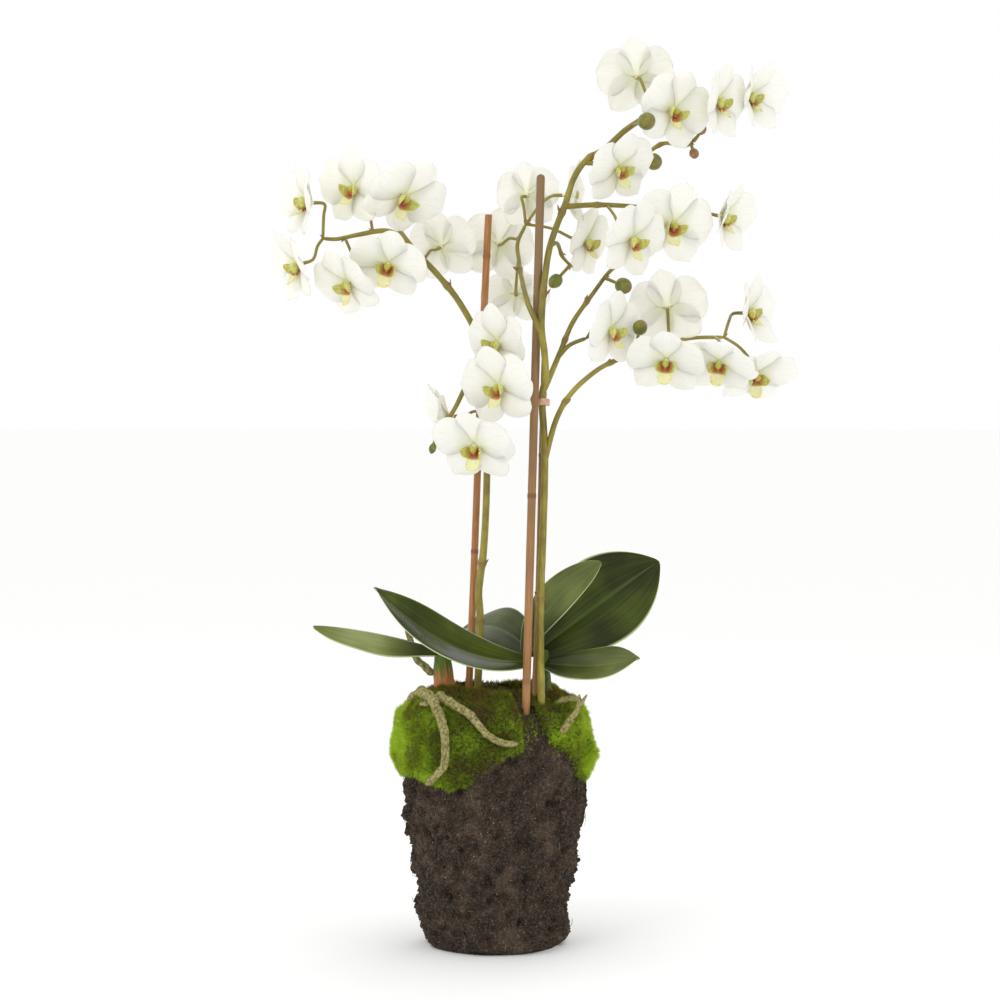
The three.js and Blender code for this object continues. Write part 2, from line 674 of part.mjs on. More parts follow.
const stakeBores = Object.values(STAKES).map((spec) => stake(spec, GAP));
const rootTools = Object.values(ROOTS).map((spec) => aerialRoot(spec, GAP));
const crownTools = Object.values(CROWNS).map((spec) => (
  crown({ ...spec, radius: spec.radius + GAP, waist: spec.waist + GAP })
));
const spikeLeft = spike('left');
const spikeRight = spike('right');
const spikeBores = ['left', 'right'].map((name) => {
  const { route } = SPIKES[name].branches[0];
  const buried = [route[0], route[1]];
  buried[0] = [buried[0][0], buried[0][1], buried[0][2] - GAP];
  const bore = SPIKE_RADIUS + SPIKE_BORE_MARGIN;
  return limb(new THREE.LineCurve3(...buried.map(vector)), bore, bore, { steps: 1 });
});

const grown = rootBall(GAP + 0.1);
const piercing = [...stakeBores, ...crownTools, ...spikeBores, ...rootTools];
addPiece('root_ball', cut(rootBall(0), piercing), BARK);
const mossLeft = mossCushion(radians(-176), radians(17), leftMossEdge, 18);
const mossRight = mossCushion(radians(36), radians(176), rightMossEdge, 14);
addPiece('moss_left', cut(mossLeft, [grown, ...piercing]), MOSS);
addPiece('moss_right', cut(mossRight, [grown, ...piercing]), MOSS);

Object.entries(STAKES).forEach(([name, spec]) => addPiece(name, stake(spec), CANE));
addPiece('tie', tie(TIE_BAND), TIE);
Object.entries(CROWNS).forEach(([name, spec]) => addPiece(name, crown(spec), CROWN));
Object.entries(LEAVES).forEach(([name, spec]) => addPiece(name, cut(leafBody(spec), crownTools), LEAF));
Object.entries(ROOTS).forEach(([name, spec]) => addPiece(name, cut(aerialRoot(spec), crownTools), ROOT));
addPiece('spike_left', spikeLeft, STEM);
addPiece('spike_right', spikeRight, STEM);
Object.entries(BUDS).forEach(([name, { at, radii }]) => addPiece(name, knob(at, radii, 1), BUD));
Object.entries(FLOWERS).forEach(([name, spec]) => addPiece(name, flower(spec), PETAL));

export default orchid;
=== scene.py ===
import math
import random

import bpy
from mathutils import Matrix, Vector, noise


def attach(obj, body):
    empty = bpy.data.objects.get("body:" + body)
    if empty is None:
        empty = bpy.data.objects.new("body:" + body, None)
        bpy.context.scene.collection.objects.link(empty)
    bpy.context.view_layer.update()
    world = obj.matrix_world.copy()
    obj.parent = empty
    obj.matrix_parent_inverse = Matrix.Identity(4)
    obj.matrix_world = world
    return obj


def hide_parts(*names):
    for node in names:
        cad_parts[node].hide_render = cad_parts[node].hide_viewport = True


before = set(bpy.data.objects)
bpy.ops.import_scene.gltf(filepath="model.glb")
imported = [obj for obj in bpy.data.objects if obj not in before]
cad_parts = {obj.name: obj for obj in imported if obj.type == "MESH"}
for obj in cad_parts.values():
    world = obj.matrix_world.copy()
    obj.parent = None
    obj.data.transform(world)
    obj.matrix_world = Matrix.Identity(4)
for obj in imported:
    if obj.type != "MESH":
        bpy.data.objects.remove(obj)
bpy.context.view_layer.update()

# Moth orchid on a bare, pot-shaped root ball. Sizes are in millimetres, the front faces
# -Y and the foot stands on Z = 0.


# ---- root ball ------------------------------------------------------------------
# Moist peat and shredded bark, pressed to the shape of the pot that it grew in and
# bound by fine roots. It stands bare, on its own flat foot.

MM = 0.001  # the frame is in metres


def linear(code):
    """An sRGB hex colour as linear red, green, blue and alpha."""
    channels = [int(code[i:i + 2], 16) / 255 for i in (1, 3, 5)]
    return [c / 12.92 if c <= 0.04045 else ((c + 0.055) / 1.055) ** 2.4 for c in channels] + [1]


def add_node(tree, kind, inputs=(), stops=(), **settings):
    """Adds a node. Each input is a value or another node's output; stops are a ramp's."""
    node = tree.nodes.new(kind)
    for name, value in settings.items():
        setattr(node, name, value)
    for socket, value in dict(inputs).items():
        if isinstance(value, bpy.types.NodeSocket):
            tree.links.new(value, node.inputs[socket])
        else:
            node.inputs[socket].default_value = value
    if stops:
        elements = node.color_ramp.elements
        while len(elements) < len(stops):
            elements.new(1)
        for element, (place, code) in zip(elements, stops):
            element.position = place
            element.color = linear(code)
    return node


def new_material(name, sockets):
    """A material with its Principled shader's fixed sockets set."""
    material = bpy.data.materials.new(name)
    material.use_nodes = True
    shader = material.node_tree.nodes["Principled BSDF"]
    for socket, value in sockets.items():
        shader.inputs[socket].default_value = value
    return material, material.node_tree, shader


def in_space(tree):
    """Places in the plant's own space, in metres."""
    return add_node(tree, "ShaderNodeTexCoord").outputs["Object"]


def mottle(tree, vector, scale, detail=2):
    """The strength of a noise with about this many blotches in each unit."""
    sockets = {"Vector": vector, "Scale": scale, "Detail": detail}
    return add_node(tree, "ShaderNodeTexNoise", sockets).outputs["Fac"]


def ramp(tree, strength, *stops):
    return add_node(tree, "ShaderNodeValToRGB", {"Fac": strength}, stops).outputs[0]


def reckon(tree, operation, first, second=0):
    return add_node(tree, "ShaderNodeMath", {0: first, 1: second}, operation=operation).outputs[0]


def overlay(tree, share, under, over):
    """A colour laid over another one; over is a hex colour or a node's output."""
    over = linear(over) if isinstance(over, str) else over
    return add_node(tree, "ShaderNodeMix", {0: share, 6: under, 7: over}, data_type="RGBA").outputs[2]


def finish(tree, shader, colour, height=None, strength=1, depth=0):
    """Gives a shader its colour, and a bump of this depth in metres where there is one."""
    tree.links.new(colour, shader.inputs["Base Color"])
    if height is not None:
        bump = add_node(
            tree, "ShaderNodeBump", {"Height": height, "Strength": strength, "Distance": depth},
        )
        tree.links.new(bump.outputs[0], shader.inputs["Normal"])


def each_vertex(rows, columns, value):
    """value(row, column) at every vertex of a closed skin. Its first and its last row are
    a single vertex each."""
    rings = [value(row, column) for row in range(1, rows - 1) for column in range(columns)]
    return [value(0, 0)] + rings + [value(rows - 1, 0)]


def closed_rings(rows, columns, point):
    """Vertices and faces of a closed skin of rings. point(row, column) is in millimetres."""
    verts = each_vertex(rows, columns, point)
    last = len(verts) - 1
    faces = []
    for column in range(columns):
        right = (column + 1) % columns
        faces.append((0, 1 + right, 1 + column))
        for row in range(rows - 3):
            low = 1 + row * columns
            high = low + columns
            faces.append((low + column, low + right, high + right, high + column))
        top = 1 + (rows - 3) * columns
        faces.append((top + column, top + right, last))
    return verts, faces


def into_scene(name, data):
    """A new object in the scene, made from a mesh, a lamp or a camera."""
    thing = bpy.data.objects.new(name, data)
    bpy.context.scene.collection.objects.link(thing)
    return thing


def make_piece(name, parts, material, smooth=True):
    """One mesh object from parts of (vertices in mm, faces, places or None). A place is a
    vertex's share across, its share along, and its mark, which its material reads."""
    verts, faces, places = [], [], []
    for part_verts, part_faces, part_places in parts:
        start = len(verts)
        verts += [Vector(v) * MM for v in part_verts]
        faces += [tuple(start + i for i in face) for face in part_faces]
        places += part_places or [(0.5, 0.5, 0)] * len(part_verts)
    mesh = bpy.data.meshes.new(name)
    mesh.from_pydata(verts, [], faces)
    layer = mesh.uv_layers.new(name="along")
    for loop in mesh.loops:
        layer.data[loop.index].uv = places[loop.vertex_index][:2]
    mark = mesh.attributes.new("mark", "FLOAT", "POINT")
    mark.data.foreach_set("value", [place[2] for place in places])
    mesh.polygons.foreach_set("use_smooth", [smooth] * len(mesh.polygons))
    mesh.materials.append(material)
    mesh.update()
    return into_scene(name, mesh)


def settle(piece, slot, *nodes):
    """The piece rides on the plant's one body and stands for its nodes."""
    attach(piece, "root")
    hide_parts(*nodes)
    return piece


def blend_between(low, high, value):
    share = min(1, max(0, (value - low) / (high - low)))
    return share * share * (3 - 2 * share)


RIM_HEIGHT = 157
BALL_TOP = 184
BALL_PROFILE = [
    (0, 0), (46, 0), (50, 4), (53, 25), (56, 50), (60.5, 75), (63, 100),
    (65, 130), (63, RIM_HEIGHT), (55, 169), (38, 179), (0, BALL_TOP),
]
BALL_ROWS = 190
BALL_COLUMNS = 300
PEAT_LUMP = 22
PEAT_CLOD = 9
PEAT_CRUMB = 4.2
PEAT_GRIT = 1.6


def around(angle, radius, height):
    """A place by its angle from the front towards the right, in mm."""
    return Vector((radius * math.sin(angle), -radius * math.cos(angle), height))


def lumps(angle, height):
    broad = math.sin(3 * angle + height / 31 + 0.6) + math.sin(5 * angle - height / 19)
    fine = math.sin(9 * angle + height / 7) + math.sin(13 * angle - height / 11 + 2)
    return 0.9 * broad + 0.5 * fine


def profile_place(share):
    """Radius and height at a share of the way along the ball's outline."""
    lengths = [math.dist(a, b) for a, b in zip(BALL_PROFILE, BALL_PROFILE[1:])]
    left = share * sum(lengths)
    for (r0, z0), (r1, z1), length in zip(BALL_PROFILE, BALL_PROFILE[1:], lengths):
        if left <= length:
            part = left / length
            return r0 + (r1 - r0) * part, z0 + (z1 - z0) * part
        left -= length
    return BALL_PROFILE[-1]


def ball_point(row, column):
    radius, height = profile_place(row / (BALL_ROWS - 1))
    angle = 2 * math.pi * column / BALL_COLUMNS
    place = around(angle, radius, height)
    if height < 0.01 or radius < 0.01:
        return place
    foot = blend_between(0, 6, height)
    crumbs = 3.8 * noise.noise(place / PEAT_LUMP) + 3.8 * noise.noise(place / PEAT_CLOD)
    crumbs += 2.3 * noise.noise(place / PEAT_CRUMB) + 0.9 * noise.noise(place / PEAT_GRIT)
    pits = blend_between(0.1, 0.55, noise.noise(place / 8 + Vector((3, 8, 1))))
    rough = (lumps(angle, height) if radius > 1 else 0) + (crumbs - 3.2 * pits) * (0.25 + 0.75 * foot)
    wall = blend_between(RIM_HEIGHT + 8, RIM_HEIGHT - 6, height)
    grown = around(angle, radius + rough * (wall + (1 - wall) * 0.3), height)
    return grown + Vector((0, 0, rough * (1 - wall) * 0.7))


# Peat and bark, crumbled and pressed: very dark, dull and dry, with paler fibres and a
# few pale grains of grit, brightened as painted glints. Grit is about 1.6 mm.
peat, tree, shader = new_material("peat and bark", {"Roughness": 0.95, "Specular IOR Level": 0.25})
where = in_space(tree)
patches = mottle(tree, where, 55, 6)
grit = mottle(tree, where, 620, 4)
ground = ramp(tree, patches, (0.3, "#1d1712"), (0.5, "#3f3329"), (0.72, "#685849"))
fleck = ramp(tree, grit, (0.36, "#14100d"), (0.55, "#43382f"), (0.74, "#7d7062"))
speck = add_node(tree, "ShaderNodeTexVoronoi", {"Vector": where, "Scale": 330})
# Painted glints: tiny, sparse spots lightened to a pale grit colour.
painted_grit_glint = ramp(tree, speck.outputs["Distance"], (0.09, "#ffffff"), (0.13, "#000000"))
sparse = reckon(tree, "GREATER_THAN", speck.outputs["Color"], 0.72)
soil = overlay(tree, 0.5, ground, fleck)
gritty = overlay(tree, reckon(tree, "MULTIPLY", painted_grit_glint, sparse), soil, "#b9a893")
finish(tree, shader, gritty, grit, 0.7, 0.0012)

ball_verts, ball_faces = closed_rings(BALL_ROWS, BALL_COLUMNS, ball_point)
root_ball = make_piece("root_ball_peat", [(ball_verts, ball_faces, None)], peat)


def scatter_tree():
    """Copies of a shape, set on a surface where its cover attribute is above nothing."""
    group = bpy.data.node_groups.new("scatter", "GeometryNodeTree")
    face = group.interface
    face.new_socket("Geometry", in_out="INPUT", socket_type="NodeSocketGeometry")
    for name, kind in (
        ("Shape", "Object"), ("Material", "Material"), ("Per square metre", "Float"),
        ("Smallest", "Float"), ("Largest", "Float"), ("Tilt", "Float"), ("Seed", "Int"),
    ):
        face.new_socket(name, in_out="INPUT", socket_type="NodeSocket" + kind)
    face.new_socket("Geometry", in_out="OUTPUT", socket_type="NodeSocketGeometry")
    given = add_node(group, "NodeGroupInput").outputs
    cover = add_node(group, "GeometryNodeInputNamedAttribute", {"Name": "cover"}, data_type="FLOAT")
    density = reckon(group, "MULTIPLY", cover.outputs[0], given["Per square metre"])
    points = add_node(
        group, "GeometryNodeDistributePointsOnFaces",
        {"Mesh": given["Geometry"], "Density": density, "Seed": given["Seed"]},
    )
    back = reckon(group, "MULTIPLY", given["Tilt"], -1)
    low = add_node(group, "ShaderNodeCombineXYZ", {0: back, 1: back})
    high = add_node(
        group, "ShaderNodeCombineXYZ", {0: given["Tilt"], 1: given["Tilt"], 2: 2 * math.pi},
    )
    turn = add_node(
        group, "FunctionNodeRandomValue",
        {0: low.outputs[0], 1: high.outputs[0], "Seed": given["Seed"]}, data_type="FLOAT_VECTOR",
    )
    stance = add_node(
        group, "FunctionNodeRotateEuler",
        {"Rotation": points.outputs["Rotation"], "Rotate By": turn.outputs[0]}, space="LOCAL",
    )
    size = add_node(
        group, "FunctionNodeRandomValue",
        {2: given["Smallest"], 3: given["Largest"], "Seed": given["Seed"]}, data_type="FLOAT",
    )
    shape = add_node(group, "GeometryNodeObjectInfo", {"Object": given["Shape"]})
    copies = add_node(
        group, "GeometryNodeInstanceOnPoints",
        {
            "Points": points.outputs["Points"], "Instance": shape.outputs["Geometry"],
            "Rotation": stance.outputs[0], "Scale": size.outputs[1],
        },
    )
    real = add_node(group, "GeometryNodeRealizeInstances", {0: copies.outputs[0]})
    dressed = add_node(
        group, "GeometryNodeSetMaterial",
        {"Geometry": real.outputs[0], "Material": given["Material"]},
    )
    add_node(group, "NodeGroupOutput", {0: dressed.outputs[0]})
    return group


scattering = scatter_tree()


def scatter(name, host, shape, material, inputs):
    """A plain mesh of copies of shape on host, made once by the scattering nodes."""
    modifier = host.modifiers.new("scatter", "NODES")
    modifier.node_group = scattering
    given = {"Shape": shape, "Material": material, **inputs}
    for item in scattering.interface.items_tree:
        if item.in_out == "INPUT" and item.name in given:
            modifier[item.identifier] = given[item.name]
    graph = bpy.context.evaluated_depsgraph_get()
    mesh = bpy.data.meshes.new_from_object(host.evaluated_get(graph))
    host.modifiers.remove(modifier)
    mesh.name = name
    return into_scene(name, mesh)


def set_cover(piece, rule):
    """Stores how thickly things grow at each vertex; rule takes a place in mm."""
    cover = piece.data.attributes.get("cover") or piece.data.attributes.new("cover", "FLOAT", "POINT")
    cover.data.foreach_set("value", [rule(v.co / MM) for v in piece.data.vertices])


def forget(*shapes):
    """Removes the shapes that were only there to be copied."""
    for shape in shapes:
        bpy.data.objects.remove(shape)


def crumb_shape(seed):
    """A grain of bark, 1 mm across, with eight facets pulled out of true."""
    draw = random.Random(seed)
    corners = [(1, 0, 0), (-1, 0, 0), (0, 1, 0), (0, -1, 0), (0, 0, 1), (0, 0, -1)]
    verts = [Vector(c) * draw.uniform(0.3, 0.62) for c in corners]
    faces = [
        (0, 2, 4), (2, 1, 4), (1, 3, 4), (3, 0, 4), (2, 0, 5), (1, 2, 5), (3, 1, 5), (0, 3, 5),
    ]
    return make_piece("crumb", [(verts, faces, None)], peat, smooth=False)


def strand_shape(length, width, sag, material):
    """A thin three-sided strand that lies along X and lifts in its middle."""
    steps = 6

    def point(row, column):
        along = max(0, min(1, (row - 0.5) / (steps - 2)))
        lift = sag * math.sin(math.pi * along) + 0.35 * sag * math.sin(7 * along)
        side = 0.5 * sag * math.sin(5 * along)
        thin = 0 if row in (0, steps - 1) else width / 2
        turn = 2 * math.pi * column / 3
        return Vector((
            (along - 0.5) * length, side + thin * math.cos(turn), lift + thin * math.sin(turn),
        ))

    verts, faces = closed_rings(steps, 3, point)
    return make_piece("strand", [(verts, faces, None)], material)


def ball_cover(place):
    out = math.hypot(place.x, place.y)
    return 1 if place.z > 3 and (place.z > RIM_HEIGHT or out > 40) else 0


# Dry coir and dead root hairs, paler than the peat that they hold together.
fibre, tree, shader = new_material("coir fibre", {"Roughness": 0.85, "Specular IOR Level": 0.3})
tint = mottle(tree, in_space(tree), 90)
finish(tree, shader, ramp(tree, tint, (0.35, "#221a15"), (0.5, "#463a30"), (0.7, "#7a6a59")))

set_cover(root_ball, ball_cover)
grain = crumb_shape(4)
hair = strand_shape(9, 0.32, 1.1, fibre)
crumbs = scatter("root_ball_crumbs", root_ball, grain, peat, {
    "Per square metre": 90000.0, "Smallest": 1.0, "Largest": 4.6, "Tilt": 1.5, "Seed": 11,
})
fibres = scatter("root_ball_fibres", root_ball, hair, fibre, {
    "Per square metre": 9000.0, "Smallest": 0.4, "Largest": 1.4, "Tilt": 0.45, "Seed": 12,
})
forget(grain, hair)
for piece in (root_ball, crumbs, fibres):
    settle(piece, "bark", "root_ball")


# ---- moss -----------------------------------------------------------------------
# Two cushions of living sheet moss pressed over the rim. Each is a mat of brown dead
# stems with short, bright, feathery shoots standing out of it.

MOSS_THICKNESS = 9
MOSS_INNER_RADIUS = 31
MOSS_ROWS = 44


def ball_radius(height):
    for (r0, z0), (r1, z1) in zip(BALL_PROFILE[1:], BALL_PROFILE[2:]):
        if z0 <= height <= z1:
            return r0 + (r1 - r0) * (height - z0) / (z1 - z0)
    return BALL_PROFILE[1][0]


def moss_surface(start, end, lower_edge, columns):
    """A cushion over the rim: rows run across it, round its section, and columns along."""

    def point(row, column):
        along = column / (columns - 1)
        angle = start + (end - start) * along
        u = 2 * row / (MOSS_ROWS - 1)
        outside = u <= 1
        u = u if outside else 2 - u
        low = lower_edge(angle) + 2.5 * noise.noise(Vector((angle * 9, 3, 1)))
        height = low + (RIM_HEIGHT - low) * min(1, u / 0.55)
        inward = max(0, (u - 0.55) / 0.45)
        ragged = MOSS_INNER_RADIUS + 5 * noise.noise(Vector((angle * 5, 8, 2)))
        wall = ball_radius(height) + lumps(angle, height)
        radius = wall + (ragged - wall) * inward
        lean = math.radians(90 * blend_between(0.35, 0.75, u))
        ends = math.sqrt(math.sin(math.pi * (0.03 + 0.94 * along)))
        swell = math.sin(math.pi * (0.08 + 0.82 * u)) ** 0.6
        raised = height + (BALL_TOP - RIM_HEIGHT) * math.sqrt(inward)
        spot = around(angle, radius, raised)
        tufts = 1 + 0.5 * noise.noise(spot / 16) + 0.35 * noise.noise(spot / 6)
        lift = MOSS_THICKNESS * ends * swell * tufts * 0.86 if outside else -3.5
        return around(angle, radius + lift * math.cos(lean), raised + lift * math.sin(lean))

    verts, faces = [], []
    loop = MOSS_ROWS - 1
    for column in range(columns):
        verts += [point(row, column) for row in range(loop)]
    for column in range(columns - 1):
        for row in range(loop):
            near, far = column * loop, (column + 1) * loop
            after = (row + 1) % loop
            faces.append((near + row, far + row, far + after, near + after))
    faces.append(tuple(range(loop)))
    faces.append(tuple(reversed(range((columns - 1) * loop, columns * loop))))
    return verts, faces


def rescale(tree, value, low, high, new_low, new_high):
    sockets = {0: value, 1: low, 2: high, 3: new_low, 4: new_high}
    return add_node(tree, "ShaderNodeMapRange", sockets).outputs[0]


def moss_material(name, shoots):
    """Living shoots are yellow-green and the mat is brown. Both carry a painted rim light:
    darker inwards, lighter towards the outer rim and towards the left and right sides.
    """
    material, tree, shader = new_material(name, {
        "Roughness": 0.9, "Specular IOR Level": 0.2,
        "Sheen Weight": 0.5 if shoots else 0.1, "Sheen Tint": linear("#c8e05a"),
        "Subsurface Weight": 0.15 if shoots else 0.0, "Subsurface Scale": 0.002,
    })
    where = in_space(tree)
    shade = mottle(tree, where, 42, 3)
    greens = (
        [(0.24, "#54461f"), (0.36, "#56621a"), (0.5, "#74901c"), (0.68, "#accb30")] if shoots
        else [(0.3, "#3a3019"), (0.45, "#474c17"), (0.6, "#5e7214"), (0.75, "#84a320")]
    )
    flat = add_node(tree, "ShaderNodeVectorMath", {0: where, 1: (1, 1, 0)}, operation="MULTIPLY")
    out = add_node(tree, "ShaderNodeVectorMath", {0: flat.outputs[0]}, operation="LENGTH")
    place = add_node(tree, "ShaderNodeSeparateXYZ", {0: where})
    painted_light_side_offset = reckon(tree, "ABSOLUTE", place.outputs[0])
    # Painted rim light: darker inwards, lighter towards the outer rim and the left and right sides.
    for lift in (
        rescale(tree, out.outputs["Value"], 0.045, 0.074, -0.12, 0.05),
        rescale(tree, painted_light_side_offset, 0.02, 0.085, -0.1, 0.17),
        rescale(tree, mottle(tree, where, 420), 0.3, 0.7, -0.08, 0.08),
    ):
        shade = reckon(tree, "ADD", shade, lift)
    finish(tree, shader, ramp(tree, shade, *greens))
    return material


moss_mat = moss_material("dead moss mat", shoots=False)
moss_shoots = moss_material("living moss shoots", shoots=True)


def tuft_shape(blades, length, width):
    """A tuft of closed, three-sided pointed shoots that spread from one spot."""
    draw = random.Random(21)
    verts, faces = [], []
    for blade in range(blades):
        turn = 2 * math.pi * blade / blades + draw.uniform(-0.3, 0.3)
        spread = draw.uniform(0.15, 0.75)
        tip = Vector((math.cos(turn) * spread, math.sin(turn) * spread, draw.uniform(0.7, 1))) * length
        foot = Vector((math.cos(turn), math.sin(turn), 0)) * width * 0.8
        start = len(verts)
        for corner in range(3):
            angle = turn + 2 * math.pi * corner / 3
            verts.append(foot + Vector((math.cos(angle), math.sin(angle), 0)) * width / 2)
        verts.append(tip)
        faces += [
            (start, start + 1, start + 3), (start + 1, start + 2, start + 3),
            (start + 2, start, start + 3), (start, start + 2, start + 1),
        ]
    return make_piece("tuft", [(verts, faces, None)], moss_shoots, smooth=False)


def left_moss_edge(angle):
    return 124 + 18 * blend_between(-0.5, 0.2, angle) + 4 * math.sin(4 * angle)


def right_moss_edge(angle):
    return 152 - 30 * blend_between(0.75, 1.25, angle) + 3 * math.sin(5 * angle)


def moss_cover(place):
    """Shoots grow on the outside and thin out where the mat lies flat and brown."""
    out = math.hypot(place.x, place.y)
    outer = place.z > BALL_TOP or out > ball_radius(place.z) - 1
    bald = blend_between(0.12, 0.4, noise.noise(place / 15 + Vector((4, 1, 7))))
    return (1 - 0.7 * bald) if outer else 0


tuft = tuft_shape(6, 4.0, 0.5)
for name, start, end, edge, columns, seed in (
    ("moss_left", -179.3, 17, left_moss_edge, 190, 31),
    ("moss_right", 36, 179.3, right_moss_edge, 150, 32),
):
    verts, faces = moss_surface(math.radians(start), math.radians(end), edge, columns)
    mat = make_piece(name + "_mat", [(verts, faces, None)], moss_mat)
    set_cover(mat, moss_cover)
    shoots = scatter(name + "_shoots", mat, tuft, moss_shoots, {
        "Per square metre": 460000.0, "Smallest": 0.4, "Largest": 1.15, "Tilt": 0.55, "Seed": seed,
    })
    settle(mat, "moss", name)
    settle(shoots, "moss", name)


def top_moss_cover(place):
    """Thin, brown-green moss creeps over the top of the soil between the cushions."""
    patchy = blend_between(-0.35, 0.15, noise.noise(place / 12 + Vector((9, 2, 5))))
    front = blend_between(40, -20, place.y)
    return patchy * (0.35 + 0.65 * front) * blend_between(RIM_HEIGHT - 16, RIM_HEIGHT, place.z)


set_cover(root_ball, top_moss_cover)
creeping = scatter("moss_left_creeping", root_ball, tuft, moss_shoots, {
    "Per square metre": 260000.0, "Smallest": 0.35, "Largest": 0.9, "Tilt": 0.7, "Seed": 33,
})
settle(creeping, "moss", "moss_left")
forget(tuft)


# ---- bamboo stakes --------------------------------------------------------------
# Three smooth bamboo canes, stained orange-tan, pushed deep into the root ball.
# Each swells a little at its joints, where a dark ring marks the old leaf sheath.

STAKES = {
    "stake_tall": {
        "foot": (20.5, -42, 100), "top": (33, -42, 551), "radius": 2.95,
        "joints": (0.21, 0.5, 0.78), "slant": 0.9,
    },
    "stake_left": {
        "foot": (-22, 3, 100), "top": (-4, 14, 527), "radius": 2.6,
        "joints": (0.28, 0.43, 0.66, 0.93), "slant": 0.1,
    },
    "stake_short": {
        "foot": (27, -31, 120), "top": (36, -27, 432), "radius": 1.8,
        "joints": (0.4, 0.75), "slant": 0.5,
    },
}
CANE_ROWS = 260
CANE_COLUMNS = 20


def along_piece(tree, scale=(1, 1, 1)):
    """Shares across and along a piece, stretched by a scale."""
    uv = add_node(tree, "ShaderNodeUVMap", uv_map="along").outputs[0]
    return add_node(tree, "ShaderNodeMapping", {"Vector": uv, "Scale": scale}).outputs[0]


def marked(tree):
    return add_node(tree, "ShaderNodeAttribute", attribute_name="mark").outputs["Fac"]


def between(tree, share, first, second):
    return add_node(tree, "ShaderNodeMix", {0: share, 2: first, 3: second}).outputs[0]


# Stained bamboo: long fine grain, a satin skin, and darker stain caught at the joints.
bamboo, tree, shader = new_material("stained bamboo", {"Roughness": 0.55, "Coat Weight": 0.1})
where = in_space(tree)
grain = mottle(tree, along_piece(tree, (26, 5, 1)), 1, 5)
mixed = between(tree, 0.45, grain, mottle(tree, where, 30, 3))
hue = ramp(tree, mixed, (0.3, "#764a22"), (0.46, "#9d6734"), (0.6, "#b78049"), (0.75, "#c99c66"))
place = add_node(tree, "ShaderNodeSeparateXYZ", {0: where})
# The stakes right of the middle are toned greyer brown, more strongly towards the top.
upper_toning_share = rescale(tree, place.outputs[2], 0.25, 0.46, 0.35, 0.85)
righthand = reckon(tree, "GREATER_THAN", place.outputs[0], 0.015)
toned = overlay(tree, reckon(tree, "MULTIPLY", upper_toning_share, righthand), hue, "#77623f")
finish(tree, shader, overlay(tree, marked(tree), toned, "#5a3420"), grain, 0.25, 0.0003)

for name, cane in STAKES.items():
    foot, top = Vector(cane["foot"]), Vector(cane["top"])
    axis = top - foot
    length = axis.length
    turn = axis.to_track_quat("Z", "Y")
    radius = cane["radius"]

    def cane_point(row, column):
        inner = row in (0, CANE_ROWS - 1)
        along = max(0, min(1, (row - 1) / (CANE_ROWS - 3)))
        wall = radius
        for joint in cane["joints"]:
            off = (along - joint) * length
            wall += radius * (0.15 * math.exp(-(off / 1.1) ** 2) - 0.06 * math.exp(-((off - 2.4) / 1) ** 2))
        angle = 2 * math.pi * column / CANE_COLUMNS
        wall *= 1 + 0.03 * noise.noise(Vector((math.cos(angle), math.sin(angle), along * length / 22)))
        wall = 0 if inner else wall
        bow = 1.2 * math.sin(math.pi * along * 2.2 + radius)
        place = Vector((wall * math.cos(angle) + bow * 0.5, wall * math.sin(angle), along * length))
        if along > 0.99:
            place.z -= cane["slant"] * (place.x + radius)
        return foot + turn @ place

    def cane_stain(row, column):
        along = (row - 1) / (CANE_ROWS - 3)
        off = min(abs(along - joint) * length for joint in cane["joints"])
        dark = 0.6 * math.exp(-((off - 0.8) / 0.9) ** 2)
        return abs(column / CANE_COLUMNS - 0.5), along * length / 100, dark

    verts, faces = closed_rings(CANE_ROWS, CANE_COLUMNS, cane_point)
    places = each_vertex(CANE_ROWS, CANE_COLUMNS, cane_stain)
    settle(make_piece(name + "_cane", [(verts, faces, places)], bamboo), "cane", name)


# ---- crowns ---------------------------------------------------------------------
# The short stems of two plants, wrapped in the clasping bases of their leaves. The left
# one is old: its dry sheaths are ribbed and flushed orange-pink below a green stub.

CROWNS = {
    "crown_left": {"foot": (-33, -2, 160), "top": (-38, -3, 214), "radius": 9, "waist": 7},
    "crown_right": {"foot": (34, -15, 160), "top": (34, -13, 214), "radius": 9, "waist": 6},
}
SHEATHS = 4
SHEATH_ROWS = 34
SHEATH_COLUMNS = 48


def crown_material(name, stops):
    """Leathery sheath, coloured by its height and streaked along its ribs."""
    material, tree, shader = new_material(name, {
        "Roughness": 0.5, "Specular IOR Level": 0.2,
        "Subsurface Weight": 0.1, "Subsurface Scale": 0.002,
    })
    streaks = mottle(tree, along_piece(tree, (30, 2, 1)), 1)
    shade = reckon(tree, "ADD", marked(tree), rescale(tree, streaks, 0.3, 0.7, -0.14, 0.14))
    finish(tree, shader, ramp(tree, shade, *stops))
    return material


crown_skins = {
    "crown_left": crown_material(
        "old leaf sheath",
        [(0.3, "#7c4a30"), (0.46, "#c8764e"), (0.62, "#c07a50"), (0.7, "#7a7a36"), (0.85, "#4d6a2a")],
    ),
    "crown_right": crown_material(
        "living leaf sheath", [(0.1, "#5a5424"), (0.4, "#586320"), (0.9, "#4a5a1e")],
    ),
}

